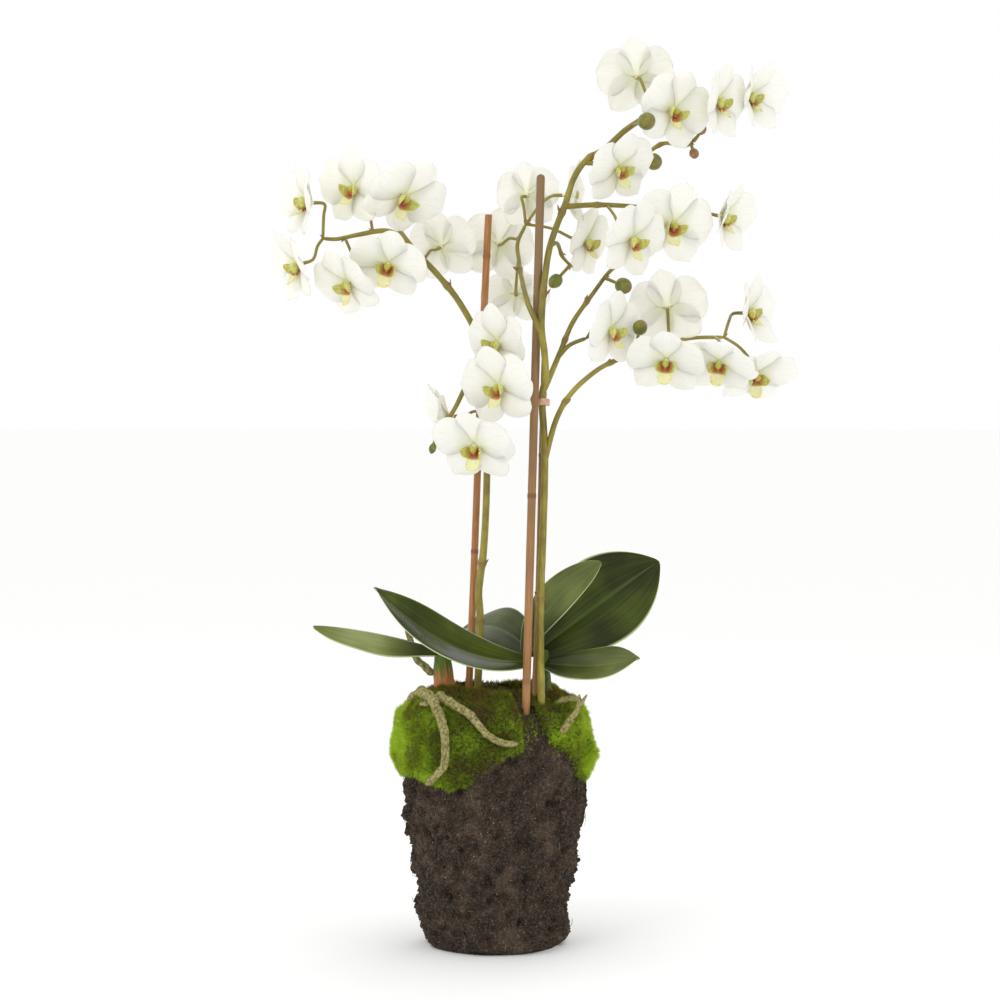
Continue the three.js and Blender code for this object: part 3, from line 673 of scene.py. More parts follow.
for name, crown in CROWNS.items():
    foot, top = Vector(crown["foot"]), Vector(crown["top"])
    axis = top - foot
    turn = axis.to_track_quat("Z", "Y")
    parts = []
    for layer in range(SHEATHS):
        reach = 1 - 0.17 * layer

        def sheath_point(row, column, layer=layer, reach=reach):
            along = max(0, min(1, (row - 1) / (SHEATH_ROWS - 3)))
            angle = 2 * math.pi * column / SHEATH_COLUMNS
            torn = 0.1 * math.sin(angle + layer * 1.9) + 0.03 * math.sin(5 * angle + layer)
            height = along * (reach + torn * reach)
            wall = crown["radius"] + (crown["waist"] - crown["radius"]) * min(1, height)
            wall *= 0.84 + 0.06 * layer
            wall *= 1 + 0.035 * math.sin(11 * angle + layer) + 0.03 * noise.noise(
                Vector((3 * math.cos(angle), 3 * math.sin(angle), height * 6 + layer)))
            wall *= 1 - 0.3 * blend_between(0.93, 1, along)
            wall = 0 if row in (0, SHEATH_ROWS - 1) else wall
            return foot + turn @ Vector((
                wall * math.cos(angle), wall * math.sin(angle), min(1, height) * axis.length))

        verts, faces = closed_rings(SHEATH_ROWS, SHEATH_COLUMNS, sheath_point)
        heights = [min(1, (v - foot).dot(axis) / axis.length_squared) for v in verts]
        spots = [(i % SHEATH_COLUMNS / SHEATH_COLUMNS, h, h) for i, h in enumerate(heights)]
        parts.append((verts, faces, spots))
    settle(make_piece(name + "_sheaths", parts, crown_skins[name]), "crown", name)


# ---- aerial roots ---------------------------------------------------------------
# Thick, corky roots that left the crowns above the soil and clamber over the moss.
# Their grey-green skin is cracked and swells and pinches as it goes.

ROOTS = {
    "root_front_left": {
        "route": [(-53, -42, 189), (-43, -53, 182), (-36, -66, 167), (-34, -71, 152),
                  (-35, -72.5, 138), (-47, -66, 124)],
        "start": 4.0, "end": 2.3,
    },
    "root_front_right": {
        "route": [(-40, -45, 185), (-26, -57, 178), (-14, -66, 170), (-5, -70, 160),
                  (7, -71, 154), (17, -71, 154)],
        "start": 3.6, "end": 2.1,
    },
    "root_up_left": {
        "route": [(-44, 3, 195), (-56, 11, 205), (-61, 12, 220), (-67, 9, 240), (-73, 6, 253)],
        "start": 3, "end": 1.2,
    },
    "root_right": {
        "route": [(42, -26, 174), (50, -30, 180), (60, -32, 181)], "start": 2.6, "end": 2,
    },
    "root_fork": {
        "route": [(47, -66, 160), (54, -64, 170), (59, -62, 178), (60, -61, 187)],
        "start": 2.8, "end": 1.2,
        "fork": [(57, -62.5, 175), (62, -61, 182), (65, -61, 187)],
    },
}
# Short broken stubs that stick out of the two front roots.
ROOT_STUBS = {
    "root_front_left": [((-51, -43, 188), (-57, -40, 184), (-61, -38, 180), 2.6)],
    "root_front_right": [((-38, -47, 184), (-46, -44, 180), (-52, -42, 178), 2.8)],
}


CURVE_STEPS = 24


def spaced_route(points, step):
    """Evenly spaced places along a smooth line through the points."""
    points = [Vector(p) for p in points]
    padded = [2 * points[0] - points[1]] + points + [2 * points[-1] - points[-2]]
    fine = []
    for a, b, c, d in zip(padded, padded[1:], padded[2:], padded[3:]):
        for k in range(CURVE_STEPS):
            t = k / CURVE_STEPS
            fine.append(0.5 * (
                2 * b + (c - a) * t + (2 * a - 5 * b + 4 * c - d) * t ** 2
                + (3 * b - a - 3 * c + d) * t ** 3))
    fine.append(points[-1])
    lengths = [0]
    for a, b in zip(fine, fine[1:]):
        lengths.append(lengths[-1] + (b - a).length)
    count = max(3, round(lengths[-1] / step))
    spots, k = [], 0
    for i in range(count + 1):
        goal = lengths[-1] * i / count
        while k < len(fine) - 2 and lengths[k + 1] < goal:
            k += 1
        share = (goal - lengths[k]) / max(1e-9, lengths[k + 1] - lengths[k])
        spots.append(fine[k].lerp(fine[k + 1], min(1, max(0, share))))
    return spots


def tube(spots, radius, columns=12, mark=None):
    """A closed round limb. radius(along, angle) and mark(along) take along from 0 to 1."""
    count = len(spots)
    tangents = [
        (spots[min(i + 1, count - 1)] - spots[max(i - 1, 0)]).normalized() for i in range(count)
    ]
    side = tangents[0].orthogonal().normalized()
    sides = []
    for tangent in tangents:
        side = (side - tangent * side.dot(tangent)).normalized()
        sides.append(side)

    def point(row, column):
        i = max(0, min(count - 1, row - 1))
        if row in (0, count + 1):
            return spots[i]
        angle = 2 * math.pi * column / columns
        wall = radius(i / (count - 1), angle)
        other = tangents[i].cross(sides[i])
        return spots[i] + sides[i] * wall * math.cos(angle) + other * wall * math.sin(angle)

    def place(row, column):
        along = max(0, min(count - 1, row - 1)) / (count - 1)
        return column / columns, along * length / 10, mark(along) if mark else 0

    length = (spots[-1] - spots[0]).length
    verts, faces = closed_rings(count + 2, columns, point)
    return verts, faces, each_vertex(count + 2, columns, place)


# Velamen, the dead corky skin of an orchid root: silvery green-grey with darker cracks
# and blotches about 2 mm across.
velamen, tree, shader = new_material("root velamen", {"Roughness": 0.75, "Specular IOR Level": 0.3})
where = in_space(tree)
blotch = mottle(tree, where, 520, 4)
cracks = add_node(tree, "ShaderNodeTexVoronoi", {"Vector": where, "Scale": 700}, feature="DISTANCE_TO_EDGE")
hue = ramp(tree, blotch, (0.3, "#574f28"), (0.44, "#827a46"), (0.58, "#a59c68"), (0.74, "#bdb584"))
edge = rescale(tree, cracks.outputs["Distance"], 0, 0.12, 0.55, 0)
finish(tree, shader, overlay(tree, edge, hue, "#5c5834"), blotch, 0.6, 0.0006)


ROOT_STEP = 0.8
noise.seed_set(5)  # without it noise_vector takes a new seed from the clock each run


def root_limb(route, start, end, seed):
    spots = spaced_route(route, ROOT_STEP)

    def radius(along, angle):
        length = along * len(spots) * ROOT_STEP
        wall = start + (end - start) * along
        wall *= 1 + 0.2 * noise.noise(Vector((length / 5, seed, 0)))
        wall *= 1 + 0.14 * noise.noise(Vector((
            math.cos(angle) * 1.4, math.sin(angle) * 1.4 + seed, length / 2.6)))
        rounding = min(1, along * len(spots) / 4 + 0.2, (1 - along) * len(spots) / 5 + 0.2)
        return wall * math.sqrt(rounding)

    kinked = [
        spot + noise.noise_vector(Vector((i / 9, seed, 5))) * 0.8 for i, spot in enumerate(spots)
    ]
    return tube(kinked, radius, columns=18)


for seed, (name, root) in enumerate(ROOTS.items()):
    parts = [root_limb(root["route"], root["start"], root["end"], seed)]
    if "fork" in root:
        parts.append(root_limb(root["fork"], root["end"] + 0.6, root["end"] * 0.8, seed + 9))
    for *route, radius in ROOT_STUBS.get(name, []):
        parts.append(root_limb(route, radius, radius * 0.7, seed + 17))
    settle(make_piece(name + "_limb", parts, velamen), "root", name)


# ---- leaves ---------------------------------------------------------------------
# Six thick, leathery strap leaves from the two crowns. Each is folded along its midrib,
# polished on top, paler beneath, and edged with a thin pale rim that is a painted
# highlight. Some are painted paler on top towards the tip, a painted highlight too.

LEAVES = {
    "leaf_far_left": {
        "line": [(-40, -4, 212), (-86, -8, 228), (-129, -24, 232)],
        "half": 19, "roll": -12, "fold": -38, "painted_highlight": 0.75,
    },
    "leaf_front_left": {
        "line": [(26, -22, 206), (-32, -42, 204), (-84, -58, 262)],
        "half": 21, "roll": -42, "fold": 14,
    },
    "leaf_back": {
        "line": [(28, 2, 208), (6, 40, 234), (-24, 92, 220)], "half": 20, "roll": -36, "fold": 10,
    },
    "leaf_big_right": {
        "line": [(30, -4, 211), (81, 8, 251), (120, 16, 276)],
        "half": 33, "roll": 70, "fold": 8,
    },
    "leaf_inner_right": {
        "line": [(23, -17, 213), (30, -14, 243), (77, -12, 277)],
        "half": 15, "roll": 58, "fold": 20, "painted_highlight": 0.25,
    },
    "leaf_low_right": {
        "line": [(37, -18, 204), (73, -36, 200), (103, -46, 211)],
        "half": 22, "roll": 28, "fold": 8, "painted_highlight": 0.3,
    },
}
LEAF_HALF_THICKNESS = 1.1
LEAF_ROWS = 110
LEAF_COLUMNS = 72
BEND_STEPS = 60


def bent_spine(base, bend, tip, above=(0, 0, 1), roll=0):
    """Centre, side and upward normal of a blade along a bent line, by share of length."""
    base, bend, tip, above = Vector(base), Vector(bend), Vector(tip), Vector(above)

    def bent(t):
        return base * (1 - t) ** 2 + bend * 2 * t * (1 - t) + tip * t * t

    fine = [bent(k / BEND_STEPS) for k in range(BEND_STEPS + 1)]
    lengths = [0]
    for a, b in zip(fine, fine[1:]):
        lengths.append(lengths[-1] + (b - a).length)

    def spine(share):
        goal = share * lengths[-1]
        k = 0
        while k < BEND_STEPS - 1 and lengths[k + 1] < goal:
            k += 1
        part = (goal - lengths[k]) / (lengths[k + 1] - lengths[k])
        t = min(1, max(0, (k + part) / BEND_STEPS))
        along = ((bend - base) * (1 - t) + (tip - bend) * t).normalized()
        side = above.cross(along).normalized()
        side.rotate(Matrix.Rotation(math.radians(roll), 3, along))
        return bent(t), side, along.cross(side)

    return spine


def blade(spine, rows, columns, width, lift, thick, mark=None):
    """A closed blade. u runs along it from 0 to 1 and v across it from -1 to 1; width(u)
    is its half width, lift(u, v) its rise off the spine and thick(u, v) half its thickness."""

    def point(row, column):
        u = row / (rows - 1)
        centre, side, normal = spine(u)
        if row in (0, rows - 1):
            return centre + normal * lift(u, 0)
        angle = 2 * math.pi * column / columns
        v = math.cos(angle)
        skin = math.copysign(math.sqrt(abs(math.sin(angle))), math.sin(angle))
        return centre + side * v * width(u, v) + normal * (lift(u, v) + skin * thick(u, v))

    def place(row, column):
        u = row / (rows - 1)
        angle = 2 * math.pi * column / columns
        v = 0 if row in (0, rows - 1) else math.cos(angle)
        front = math.sin(angle) >= -0.01
        return v / 2 + 0.5, u, mark(u, v, front) if mark else float(not front)

    verts, faces = closed_rings(rows, columns, point)
    return verts, faces, each_vertex(rows, columns, place)


# Leathery leaf: deep glossy green with faint parallel veins 1 mm apart, a paler midrib
# and underside, a pale rim painted on as a highlight along the edges, and, where a leaf's
# mark asks for it, a painted highlight in the underside colour on top towards the tip.
leaf_skin, tree, shader = new_material("leathery leaf", {
    "Roughness": 0.24, "IOR": 1.25, "Coat Weight": 0.03, "Coat Roughness": 0.1,
    "Subsurface Weight": 0.06, "Subsurface Scale": 0.003,
})
share = add_node(tree, "ShaderNodeSeparateXYZ", {0: along_piece(tree)}).outputs[0]
off = reckon(tree, "ABSOLUTE", reckon(tree, "SUBTRACT", share, 0.5))
veins = mottle(tree, along_piece(tree, (34, 1.6, 1)), 1, 3)
mixed = between(tree, 0.7, veins, mottle(tree, in_space(tree), 22))
above = ramp(tree, mixed, (0.3, "#181d06"), (0.46, "#2c350c"), (0.6, "#434f16"), (0.76, "#728034"))
below = ramp(tree, mixed, (0.3, "#6a7436"), (0.5, "#8c965a"), (0.7, "#aeb780"))
sided = overlay(tree, marked(tree), above, below)
ribbed = overlay(tree, rescale(tree, off, 0, 0.03, 0.22, 0), sided, "#7d9650")
# Painted highlight: a pale rim along the edges of every leaf.
rim_with_painted_highlight = overlay(tree, rescale(tree, off, 0.472, 0.494, 0, 0.9), ribbed, "#c2d09c")
finish(tree, shader, rim_with_painted_highlight, veins, 0.12, 0.0005)

for seed, (name, leaf) in enumerate(LEAVES.items()):
    spine = bent_spine(*leaf["line"], roll=leaf["roll"])
    half, fold = leaf["half"], math.radians(leaf["fold"])

    def leaf_width(u, v, half=half, fold=fold):
        spread = math.sin(math.pi * (0.06 + 0.9 * u ** 1.15)) ** 0.8
        tip = math.sqrt(max(0, 1 - u ** 16))
        return half * spread * tip * math.cos(fold)

    def leaf_lift(u, v, half=half, fold=fold, seed=seed):
        reach = leaf_width(u, v) / math.cos(fold)
        trough = math.sqrt(v * v + 0.004) - 0.063
        wave = 1.1 * abs(v) ** 3 * math.sin(2 * math.pi * (1.6 * u + 0.37 * seed) + 1.5 * v)
        dome = 0.05 * half * (1 - v * v) * abs(v)
        return reach * trough * math.sin(fold) + wave * u + dome - 0.5 * math.exp(-(v / 0.05) ** 2)

    def leaf_thick(u, v):
        middle = math.exp(-(v / 0.16) ** 2)
        return LEAF_HALF_THICKNESS * (1.5 - 0.8 * u) * (0.62 + 0.38 * middle) * min(1, 0.3 + (1 - u) * 9)

    # A leaf's pale share paints its upper side paler towards the tip, in the underside colour: a painted
    # highlight.
    painted_highlight = leaf.get("painted_highlight", 0)
    part = blade(
        spine, LEAF_ROWS, LEAF_COLUMNS, leaf_width, leaf_lift, leaf_thick,
        mark=lambda u, v, front: painted_highlight * blend_between(0.1, 0.5, u) if front else 1,
    )
    settle(make_piece(name + "_blade", [part], leaf_skin), "leaf", name)


# ---- flower spikes --------------------------------------------------------------
# Two branching stems, one from each crown, waxy and olive-yellow. Each joint is a low
# ring with a dry, pointed bract, and every flower hangs on a thin arched pedicel.

SPIKES = {
    "spike_left": [
        ([(-13, 0, 160), (-10, 0, 228), (-11, -1, 255), (-8, -1, 280), (-6, -3, 310), (-5, -5, 350),
          (-6, -6, 390), (-10, -6, 432), (-23, -8, 460), (-39, -10, 481), (-57, -10, 500),
          (-68, -9, 514)], 2.9, 2.1, (0.2, 0.31, 0.52, 0.7, 0.86)),
        ([(-64, -9, 509), (-78, -7, 514), (-98, -7, 511), (-112, -9, 508), (-122, -14, 508)],
         2.1, 1.3, ()),
        ([(-6, -6, 396), (-12, -16, 408), (-19, -27, 404), (-27, -40, 388), (-36, -48, 373),
          (-43, -50, 361)], 2.1, 1.3, (0.72,)),
    ],
    "spike_right": [
        ([(34, -36, 158), (33, -35, 209), (33, -35, 251), (35, -35, 308), (36, -35, 356),
          (34, -35, 393), (36.5, -41, 409), (35.5, -48, 426), (33.5, -50, 442), (34, -50.5, 460),
          (36, -45, 480), (39, -34, 499), (44, -26, 515), (51, -22, 533),
          (57, -17, 551), (66, -12, 564), (80, -8, 573), (93, -6, 585), (106, -4, 594)],
         2.9, 2.1, (0.2, 0.42, 0.5, 0.66, 0.8, 0.9)),
        ([(104, -4, 593), (120, -2, 598), (140, 0, 601), (158, 4, 605)], 2.1, 1.3, ()),
        ([(33, -50, 440), (28, -51.5, 451), (23.5, -44, 462), (20, -22, 478), (18, 2, 493),
          (17, 9, 506), (23, 14, 520)], 2.1, 1.3, (0.62,)),
        ([(64, -13, 562), (86, -6, 562), (107, 0, 569), (122, 1, 577), (136, 0, 575),
          (143, -2, 578)], 1.8, 1.3, (0.4, 0.7)),
        ([(49, -23, 530), (74, -14, 532), (104, -6, 531), (134, -2, 527)], 2.1, 1.3, (0.3,)),
        ([(34, -34, 397), (39, -33, 408), (47, -28, 427), (56, -21, 448), (70, -14, 468),
          (84, -8, 486), (98, -8, 494)], 2.1, 1.3, (0.35, 0.62)),
        ([(46, -29, 424), (54, -27, 432), (66, -25, 437)], 1.7, 1.3, ()),
        ([(36, -35, 350), (44, -36, 379), (55, -34, 398), (73, -30, 414), (89, -25, 422),
          (110, -16, 430), (140, -9, 437), (165, -5, 438)], 2.1, 1.3, (0.25, 0.5)),
        ([(40, -32, 502), (45, -22, 504), (49, -14, 495), (56, -8, 488)], 1.6, 1.1, (0.6,)),
    ],
}
STEM_STEP = 1.2
PEDICEL_RADIUS = 1.1
PEDICEL_END = 4.4
PEDICEL_NECK = 7

# The flowers of each spike: centre of the column, facing (degrees right of straight
# ahead, degrees up), roll (degrees clockwise), size (1 is 60 mm across) and cup (degrees
# that the petals lean forward).
FLOWERS = {
    "spike_left": {
        "L1": ((-131, -22, 533), (-68, 4), 0, 0.96, 24),
        "L2": ((-99, -20, 543), (-38, -6), 6, 0.96, 12),
        "L3": ((-63, -30, 537), (24, -38), 30, 1.05, 8),
        "L4": ((-38, 8, 503), (158, 12), 10, 0.9, 14),
        "L5": ((-138, -26, 489), (-64, -20), 0, 0.94, 22),
        "L6": ((-103, -34, 476), (-42, -34), -10, 0.96, 10),
        "L7": ((-74, -40, 489), (-20, -40), 20, 0.98, 10),
        "F1": ((3, -30, 433), (-48, -10), 8, 1, 10),
        "F2": ((4, -56, 402), (-34, -14), -6, 1.02, 10),
        "F3": ((-13, -66, 361), (-24, -36), 4, 1.02, 6),
        "F4": ((-31, -20, 381), (-82, -6), 12, 0.86, 30),
    },
    "spike_right": {
        "C1": ((24, 26, 541), (158, 8), 4, 0.86, 8),
        "C2": ((3, 38, 506), (196, -4), -10, 0.96, 10),
        "C3": ((16, 42, 470), (180, -30), 0, 0.86, 12),
        "C4": ((52, 14, 541), (84, 4), 0, 0.86, 28),
        "C5": ((66, 20, 508), (60, -14), 0, 0.92, 10),
        "T1": ((103, 10, 625), (190, 14), 6, 0.98, 10),
        "T2": ((127, -26, 598), (30, -18), 14, 1, 12),
        "T3": ((158, -18, 605), (58, -8), 0, 0.96, 22),
        "T4": ((184, 18, 612), (54, -6), 0, 0.92, 34),
        "M1": ((88, -34, 557), (40, -26), -8, 0.96, 12),
        "M2": ((97, -50, 506), (44, -24), 6, 1, 10),
        "M3": ((127, -22, 518), (18, -22), 12, 1.04, 6),
        "M4": ((164, 6, 525), (64, -14), 0, 0.9, 28),
        "R1": ((82, -45, 442), (48, -12), 0, 0.96, 12),
        "R2": ((124, -14, 458), (176, 8), 8, 0.97, 6),
        "R3": ((121, -48, 421), (-12, -42), 8, 0.98, 12),
        "R4": ((159, -40, 420), (-22, -52), 14, 0.96, 14),
        "R5": ((187, -16, 412), (22, -50), 0, 0.98, 12),
        "R6": ((183, 14, 456), (60, 2), 0, 0.92, 28),
    },
}
# Buds of the right spike: centre and radii.
BUDS = {
    "bud_top_1": ((107, -47, 588), (6.2, 7)),
    "bud_top_2": ((134, -12, 585), (4.6, 5.2)),
    "bud_top_3": ((114, -10, 563), (6, 6.4)),
    "bud_top_4": ((143, -8, 569), (3.5, 4)),
    "bud_top_5": ((149, -3, 586), (2.9, 3.6)),
    "bud_back": ((44, -10, 478), (4.8, 5.4)),
    "bud_middle": ((92, -22, 474), (5.8, 6.2)),
    "bud_lower": ((103, -40, 444), (5.2, 5.8)),
}


def facing_vector(right, up):
    right, up = math.radians(right), math.radians(up)
    return Vector((math.cos(up) * math.sin(right), -math.cos(up) * math.cos(right), math.sin(up)))


# Waxy stem: yellow-olive with fine lengthwise streaks, browner at each joint.
stem_skin, tree, shader = new_material("waxy orchid stem", {
    "Roughness": 0.42, "Subsurface Weight": 0.08, "Subsurface Scale": 0.0015,
})
streaks = mottle(tree, along_piece(tree, (9, 1.2, 1)), 1, 3)
mixed = between(tree, 0.6, streaks, mottle(tree, in_space(tree), 28))
hue = ramp(tree, mixed, (0.34, "#665d1c"), (0.5, "#867b26"), (0.66, "#a49739"))
finish(tree, shader, overlay(tree, marked(tree), hue, "#8a5c3a"))


def nearest_spot(routes, target):
    """The place on the branches nearest to target, and the direction of growth there."""
    best = None
    for spots in routes:
        for i, spot in enumerate(spots):
            if best is None or (spot - target).length < best[0]:
                step = spots[min(i + 1, len(spots) - 1)] - spots[max(i - 1, 0)]
                best = ((spot - target).length, spot, step.normalized())
    return best[1], best[2]


def branch(spots, start, end, joints):
    """A tapering limb that swells and browns at its joints."""
    length = len(spots) * STEM_STEP

    def closeness(along, width):
        return max([math.exp(-((along - joint) * length / width) ** 2) for joint in joints] + [0])

    def radius(along, angle):
        wall = start + (end - start) * along
        wall *= 1 + 0.05 * noise.noise(Vector((along * length / 9, start, 3)))
        wall *= 1 + 0.3 * closeness(along, 2.4)
        return wall * min(1, 0.45 + 2 * (1 - along) * length / 8)

    return tube(spots, radius, columns=14, mark=lambda along: 0.6 * closeness(along, 1.3))


def bract(place, along, outward, length):
    """A short pointed scale that clasps the stem just above a joint."""
    outward = (outward - along * outward.dot(along)).normalized()
    base = place + outward * 0.9
    tip = place + along * length * 0.8 + outward * (1.6 + length * 0.45)
    bend = place + along * length * 0.35 + outward * (1.4 + length * 0.25)
    spine = bent_spine(base, bend, tip, above=outward)
    return blade(
        spine, 9, 10, lambda u, v: length * 0.42 * (1 - u) ** 0.8 * min(1, 0.4 + 3 * u),
        lambda u, v: -0.9 * v * v * (1 - u), lambda u, v: 0.28 * (1 - u) + 0.05,
        mark=lambda u, v, front: 0.2 + 0.6 * u,
    )


stem_routes = {}
for seed, (name, branches) in enumerate(SPIKES.items()):
    draw = random.Random(40 + seed)
    routes = [spaced_route(route, STEM_STEP) for route, *_ in branches]
    stem_routes[name] = routes
    parts = []
    for spots, (_, start, end, joints) in zip(routes, branches):
        parts.append(branch(spots, start, end, joints))
        for joint in joints:
            i = min(len(spots) - 2, int(joint * (len(spots) - 1)))
            along = (spots[i + 1] - spots[i - 1]).normalized()
            spin = draw.uniform(0, 2 * math.pi)
            outward = Vector((math.cos(spin), math.sin(spin), 0)) * start * 0.7
            parts.append(bract(spots[i] + outward * 0.9, along, outward, 5.5))
    for at, facing, _, size, _ in FLOWERS[name].values():
        centre, forward = Vector(at), facing_vector(*facing)
        end = centre - forward * PEDICEL_END * size
        neck = end - forward * PEDICEL_NECK
        root, along = nearest_spot(routes, neck)
        middle = root.lerp(neck, 0.55) + Vector((0, 0, 2.5))
        spots = spaced_route([root, middle, neck, end + forward * 3], 1.0)
        parts.append(tube(
            spots, lambda along, angle: PEDICEL_RADIUS * (1 + 0.25 * blend_between(0.6, 1, along)),
            columns=10, mark=lambda along: 0.25 * blend_between(0.15, 0, along),
        ))
        parts.append(bract(root, along, middle - root, draw.uniform(3.4, 5)))
    if name == "spike_right":
        for at, (width, _) in BUDS.values():
            root, along = nearest_spot(routes, Vector(at))
            outward = (Vector(at) - root).normalized()
            spots = spaced_route([root, Vector(at) - outward * width * 0.6], 1.0)
            parts.append(tube(spots, lambda along, angle: 1.3 - 0.2 * along, columns=10))
            parts.append(bract(root, along, outward, 3.6))
    settle(make_piece(name + "_stems", parts, stem_skin), "stem", name)


# ---- tie ------------------------------------------------------------------------
# A soft, skin-coloured rubber band, looped once round the right spike and the short
# stake to hold them together.

TIE_CENTRE = Vector((34.2, -30.8, 389))
TIE_REACH = 3.4
TIE_HALF_WIDTH = 3.9
TIE_HEIGHT = 5
TIE_WALL = 1.1
TIE_TURN = math.radians(82)

tie_rubber, tree, shader = new_material("soft tie rubber", {"Roughness": 0.6})
dust = mottle(tree, in_space(tree), 260, 3)
finish(tree, shader, ramp(tree, dust, (0.35, "#c09577"), (0.7, "#dcb69c")))

LOOP_STEPS = 72
SECTION_STEPS = 16
verts, faces = [], []
for i in range(LOOP_STEPS):
    angle = 2 * math.pi * i / LOOP_STEPS
    for k in range(SECTION_STEPS):
        round_angle = 2 * math.pi * k / SECTION_STEPS
        wall = math.copysign(abs(math.cos(round_angle)) ** 0.6, math.cos(round_angle)) * TIE_WALL / 2
        rise = math.copysign(abs(math.sin(round_angle)) ** 0.5, math.sin(round_angle)) * TIE_HEIGHT / 2
        rise += 0.35 * math.sin(2 * angle + 0.7)
        radius = TIE_HALF_WIDTH + TIE_WALL / 2 + wall
        local = Vector((
            radius * math.cos(angle)
            + math.copysign(TIE_REACH, math.cos(angle)) * min(1, abs(math.cos(angle)) * 6),
            radius * math.sin(angle), rise + TIE_HEIGHT / 2))
        verts.append(TIE_CENTRE + Matrix.Rotation(TIE_TURN, 3, "Z") @ local)
        after, above = (i + 1) % LOOP_STEPS, (k + 1) % SECTION_STEPS
        faces.append((
            i * SECTION_STEPS + k, after * SECTION_STEPS + k,
            after * SECTION_STEPS + above, i * SECTION_STEPS + above))
settle(make_piece("tie_band", [(verts, faces, None)], tie_rubber), "tie", "tie")


# ---- buds -----------------------------------------------------------------------
# Unopened flowers at the ends of the right spike and one on the left: plump, with
# three sepals meeting in shallow seams, green on the outside and golden at the seams.

BUD_ROWS = 26
BUD_COLUMNS = 30


def bud_material(name, skin, seam):
    material, tree, shader = new_material(name, {
        "Roughness": 0.38, "Subsurface Weight": 0.12, "Subsurface Scale": 0.002,
    })
    hue = ramp(tree, mottle(tree, in_space(tree), 190, 3), *skin)
    finish(tree, shader, overlay(tree, marked(tree), hue, seam))
    return material


bud_skin = bud_material("orchid bud", [(0.35, "#525c18"), (0.65, "#7a8430")], "#8a6f30")
flushed_skin = bud_material("flushed orchid bud", [(0.35, "#85603c"), (0.65, "#a4824c")], "#7c4a3a")


def bud_part(centre, width, length, outward):
    turn = outward.to_track_quat("Z", "Y")

    def seams(angle, rise):
        return math.exp(-((math.sin(1.5 * (angle + 0.5 * rise)) / 0.16) ** 2))

    def point(row, column):
        polar = math.pi * row / (BUD_ROWS - 1)
        angle = 2 * math.pi * column / BUD_COLUMNS
        rise = -math.cos(polar)
        ends = row in (0, BUD_ROWS - 1)
        wall = 0 if ends else width * math.sin(polar) ** (0.9 + 0.25 * max(0, rise))
        wall *= 1 - 0.07 * seams(angle, rise)
        return Vector(centre) + turn @ Vector((
            wall * math.cos(angle), wall * math.sin(angle),
            length * (rise + 0.12 * max(0, rise) ** 4)))

    def place(row, column):
        if row in (0, BUD_ROWS - 1):
            return (0.5, 0, 0.2) if row == 0 else (0.5, 1, 0.8)
        rise = -math.cos(math.pi * row / (BUD_ROWS - 1))
        seam = seams(2 * math.pi * column / BUD_COLUMNS, rise)
        return column / BUD_COLUMNS, rise, min(1, 0.8 * seam + 0.5 * max(0, rise) ** 2)

    verts, faces = closed_rings(BUD_ROWS, BUD_COLUMNS, point)
    return verts, faces, each_vertex(BUD_ROWS, BUD_COLUMNS, place)


for name, (at, (width, length)) in BUDS.items():
    root, _ = nearest_spot(stem_routes["spike_right"], Vector(at))
    skin = flushed_skin if name in ("bud_top_4", "bud_top_5") else bud_skin
    part = bud_part(at, width, length, (Vector(at) - root).normalized())
    settle(make_piece(name + "_skin", [part], skin), "bud", name)
tip_bud = bud_part((-43, -50, 359), 2.6, 3.6, Vector((-0.3, -0.1, -1)).normalized())
settle(make_piece("spike_left_tip_bud", [tip_bud], bud_skin), "stem", "spike_left")


# ---- flowers --------------------------------------------------------------------
# Thirty white moth flowers. Each has three sepals behind two broad petals, thin and
# faintly veined, and a small lip with two raised ears under the column.

SEPAL_LENGTH = 30
SEPAL_HALF_WIDTH = 12.6
PETAL_LENGTH = 30
PETAL_HALF_WIDTH = 17.5
TEPALS = [
    (0, False), (138, False), (-138, False), (76, True), (-76, True),
]

# Petal tissue: white and softly translucent, with fine veins that fan from the middle
# and a green tint at the heart, deepened and spread out as painted shade where the petals meet.
petal_skin, tree, shader = new_material("orchid petal", {
    "Roughness": 0.5, "Specular IOR Level": 0.35, "Sheen Weight": 0.1,
    "Subsurface Weight": 0.35, "Subsurface Scale": 0.004, "Subsurface Radius": (1.0, 0.9, 0.7),
})
out = add_node(tree, "ShaderNodeSeparateXYZ", {0: along_piece(tree)}).outputs[1]
veins = mottle(tree, along_piece(tree, (22, 1.8, 1)), 1, 3)
white = ramp(tree, veins, (0.3, "#efede2"), (0.5, "#f3f1e6"), (0.7, "#f6f4ea"))
# Green tint at the heart, partly real and partly painted shade where the petals meet the middle.
heart_tint_and_painted_shade = overlay(tree, rescale(tree, out, 0.04, 0.42, 0.75, 0), white, "#e3e6b4")
finish(tree, shader, heart_tint_and_painted_shade, veins, 0.07, 0.0004)

# Lip tissue: cream to yellow-green, with a brownish pink throat. The mark runs from the
# cream tip at 0 to the throat at 1.
lip_skin, tree, shader = new_material("orchid lip", {
    "Roughness": 0.4, "Subsurface Weight": 0.2, "Subsurface Scale": 0.002,
})
stir = rescale(tree, mottle(tree, in_space(tree), 700, 3), 0.3, 0.7, -0.1, 0.1)
finish(tree, shader, ramp(
    tree, reckon(tree, "ADD", marked(tree), stir),
    (0.0, "#f3f0da"), (0.3, "#e6e6a4"), (0.55, "#b4ba46"), (0.74, "#bd9048"), (0.95, "#b4684e"),
))


